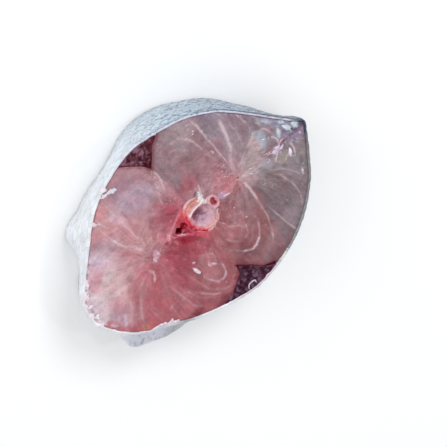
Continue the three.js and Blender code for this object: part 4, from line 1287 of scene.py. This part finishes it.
# Membrane scraps on the cut. The white ones left of the cup and three on the lower right cone are raised
# bits painted white as wet highlights.
def membrane_scraps_and_glints():
    scraps("membrane_scraps_and_glints", GRISTLE, [
        # painted highlight, the next three: the white glossy patch left of the cup
        (-7.3, 2.4, 2.2, 0.9, 142, 0.4, (230, 226, 228)),
        (-6.4, 1.6, 0.9, 1.5, 20, 0.35, (230, 226, 228)),
        (-8.2, 3.4, 1.5, 0.8, -10, 0.3, (224, 216, 220)),
        (-9.9, 4.7, 1.4, 0.45, 155, 0.25, (218, 176, 186)),
        # painted highlights, the next three: wet glints on the lower right cone
        (15.7, -18.9, 2.2, 0.7, 12, 0.35, (246, 234, 242)),
        (18.4, -11.5, 1.4, 0.7, 42, 0.3, (220, 164, 182)),
        (17.3, -13.2, 1.0, 0.7, 0, 0.25, (216, 166, 180)),
        (12.2, -17.6, 0.8, 0.5, 60, 0.25, (222, 174, 188)),
        (-1.7, -26.8, 2.0, 1.3, -20, 0.22, (210, 162, 180)),
        (-0.4, -28.5, 1.3, 0.8, -30, 0.25, (218, 190, 206)),
        (-3.4, -18.5, 2.2, 1.0, -32, 0.22, (224, 146, 156)),
        (15.6, 43.4, 1.3, 0.45, -24, 0.22, (210, 204, 214)),
        (-3.8, 50, 1.8, 1.0, 35, 0.35, (218, 224, 234)),
        (-2.5, 53.4, 1.6, 1.2, 20, 0.35, (208, 218, 226)),
        (-7.5, 49.3, 1.7, 0.6, 40, 0.25, (198, 204, 226)),
        (1.9, 52.6, 1.1, 0.7, 0, 0.2, (172, 132, 158)),
        (-0.5, -13.1, 1.3, 0.26, 52, 0.3, (240, 182, 190)),
    ], 400, 0.2)


def torn_skin():
    scraps("torn_skin", SILVER_SKIN, [
        (-35.5, -23.6, 2.4, 1.1, 80, 0.5, (212, 220, 230)),
        (-35.9, -26.8, 1.7, 0.7, 70, 0.5, (242, 228, 236)),
        (-29.6, -37.4, 1.5, 0.5, 72, 0.5, (240, 214, 224)),
        (-28.7, -35.9, 0.9, 0.4, 40, 0.4, (236, 206, 218)),
        (-12.0, -57.0, 1.5, 0.7, -40, 0.45, (232, 224, 230)),
        (-8.6, -60.0, 1.3, 0.8, -50, 0.45, (234, 218, 226)),
        (-4.4, -61.6, 1.1, 0.8, 60, 0.45, (238, 232, 238)),
        (0.6, -62.6, 1.2, 0.9, 75, 0.5, (238, 232, 238)),
        (4.6, -63.0, 1.0, 0.7, 100, 0.45, (234, 222, 230)),
        (26.4, -39.6, 1.3, 0.45, 70, 0.5, (240, 234, 240)),
    ], 500, 0.08)


# ---- Build ----
white_muscle()
dark_muscle("dark_wedge_left", "dark_muscle_left",
            [(-30.5, -4.7), (-33.6, -1.6), (-37.4, 1.6), (-41.5, 6.5)],
            [(-30.5, -4.7), (-34, -6.9), (-37.8, -11), (-42, -15)],
            (96, 50, 62), (78, 28, 38), (156, 116, 134))
dark_muscle("dark_wedge_right", "dark_muscle_right",
            [(27, -4.6), (31, 0.4), (35.2, 3.8), (39.5, 9.5)],
            [(27, -4.6), (30.6, -6.2), (33.6, -11), (36.6, -20.5)],
            (76, 44, 58), (92, 54, 70), (136, 106, 132))
scaled_skin()
backbone()
backbone_spines()
plug("spinal_cord_core", "spinal_cord", x=-2.0, y=5.8, radius=1.5, sunk=1.3, tint=(190, 88, 108))
plug("clotted_blood", "blood_clot", x=-2.7, y=-13.2, radius=1.3, sunk=3.2, tint="old blood")
fin_gristle()
membrane_curl()
membrane_scraps_and_glints()
torn_skin()


# ---- Camera, as in the photograph ----
LEAN, LEAN_TURN, ROLL = math.radians(22), math.radians(12.7), math.radians(43)
LENS, SENSOR, PICTURE = 100, 36, 447
PIXEL_MM = 0.42  # size of a picture element at the cut face
AIM = (206, 214)  # where the backbone's axis shows, in picture elements
focal = LENS / SENSOR * PICTURE
back = Vector((-math.sin(LEAN) * math.cos(LEAN_TURN), -math.sin(LEAN) * math.sin(LEAN_TURN), math.cos(LEAN)))
ahead = (Vector((0, 1, 0)) - back * back.y).normalized()
across = back.cross(ahead)
right = ahead * math.cos(ROLL) - across * math.sin(ROLL)
up = ahead * math.sin(ROLL) + across * math.cos(ROLL)
shift = right * (AIM[0] - PICTURE / 2) + up * (PICTURE / 2 - AIM[1])
eye = Vector((0, 0, THICKNESS)) + back * focal * PIXEL_MM - shift * PIXEL_MM
camera_data = bpy.data.cameras.new("camera")
camera_data.lens = LENS
camera_data.sensor_width = SENSOR
camera = bpy.data.objects.new("camera", camera_data)
camera.matrix_world = Matrix.Translation(eye * MM + AXIS) @ Matrix((right, up, back)).transposed().to_4x4()
bpy.context.scene.collection.objects.link(camera)
bpy.context.scene.camera = camera

# ---- Floor and light ----
FLOOR_HALF, FLOOR_LEVEL = 2.5, -0.0003  # metres
bm = bmesh.new()
bmesh.ops.create_grid(bm, x_segments=2, y_segments=2, size=FLOOR_HALF)
floor_mesh = mesh_of(bm, "floor")
floor_mat, _, floor_bsdf = material_with("pale_floor")
set_inputs(floor_bsdf, {"Base Color": (0.98, 0.98, 0.98, 1), "Roughness": 0.9, "Specular IOR Level": 0.1})
floor_mesh.materials.append(floor_mat)
floor = bpy.data.objects.new("floor", floor_mesh)
floor.location.z = FLOOR_LEVEL
bpy.context.scene.collection.objects.link(floor)

world = bpy.data.worlds.new("soft_studio")
world.use_nodes = True
set_inputs(world.node_tree.nodes["Background"], {"Color": (0.97, 0.985, 1, 1), "Strength": 0.74})
bpy.context.scene.world = world


def lamp(name, direction, reach, size, power):
    """A soft square lamp that looks at the steak from a direction."""
    data = bpy.data.lights.new(name, "AREA")
    data.size = size
    data.energy = power
    item = bpy.data.objects.new(name, data)
    towards = Vector(direction).normalized()
    turned = towards.to_track_quat("Z", "Y").to_matrix().to_4x4()
    item.matrix_world = Matrix.Translation(towards * reach) @ turned
    bpy.context.scene.collection.objects.link(item)


lamp("key", (-0.45, 0.7, 1.1), 1.3, 0.5, 4.6)
lamp("fill", (-1.0, -0.7, 0.6), 1.4, 0.9, 3.4)
lamp("glint", (0.1, 0.42, 1.0), 1.3, 0.12, 1.0)
bpy.context.scene.view_settings.view_transform = "Standard"
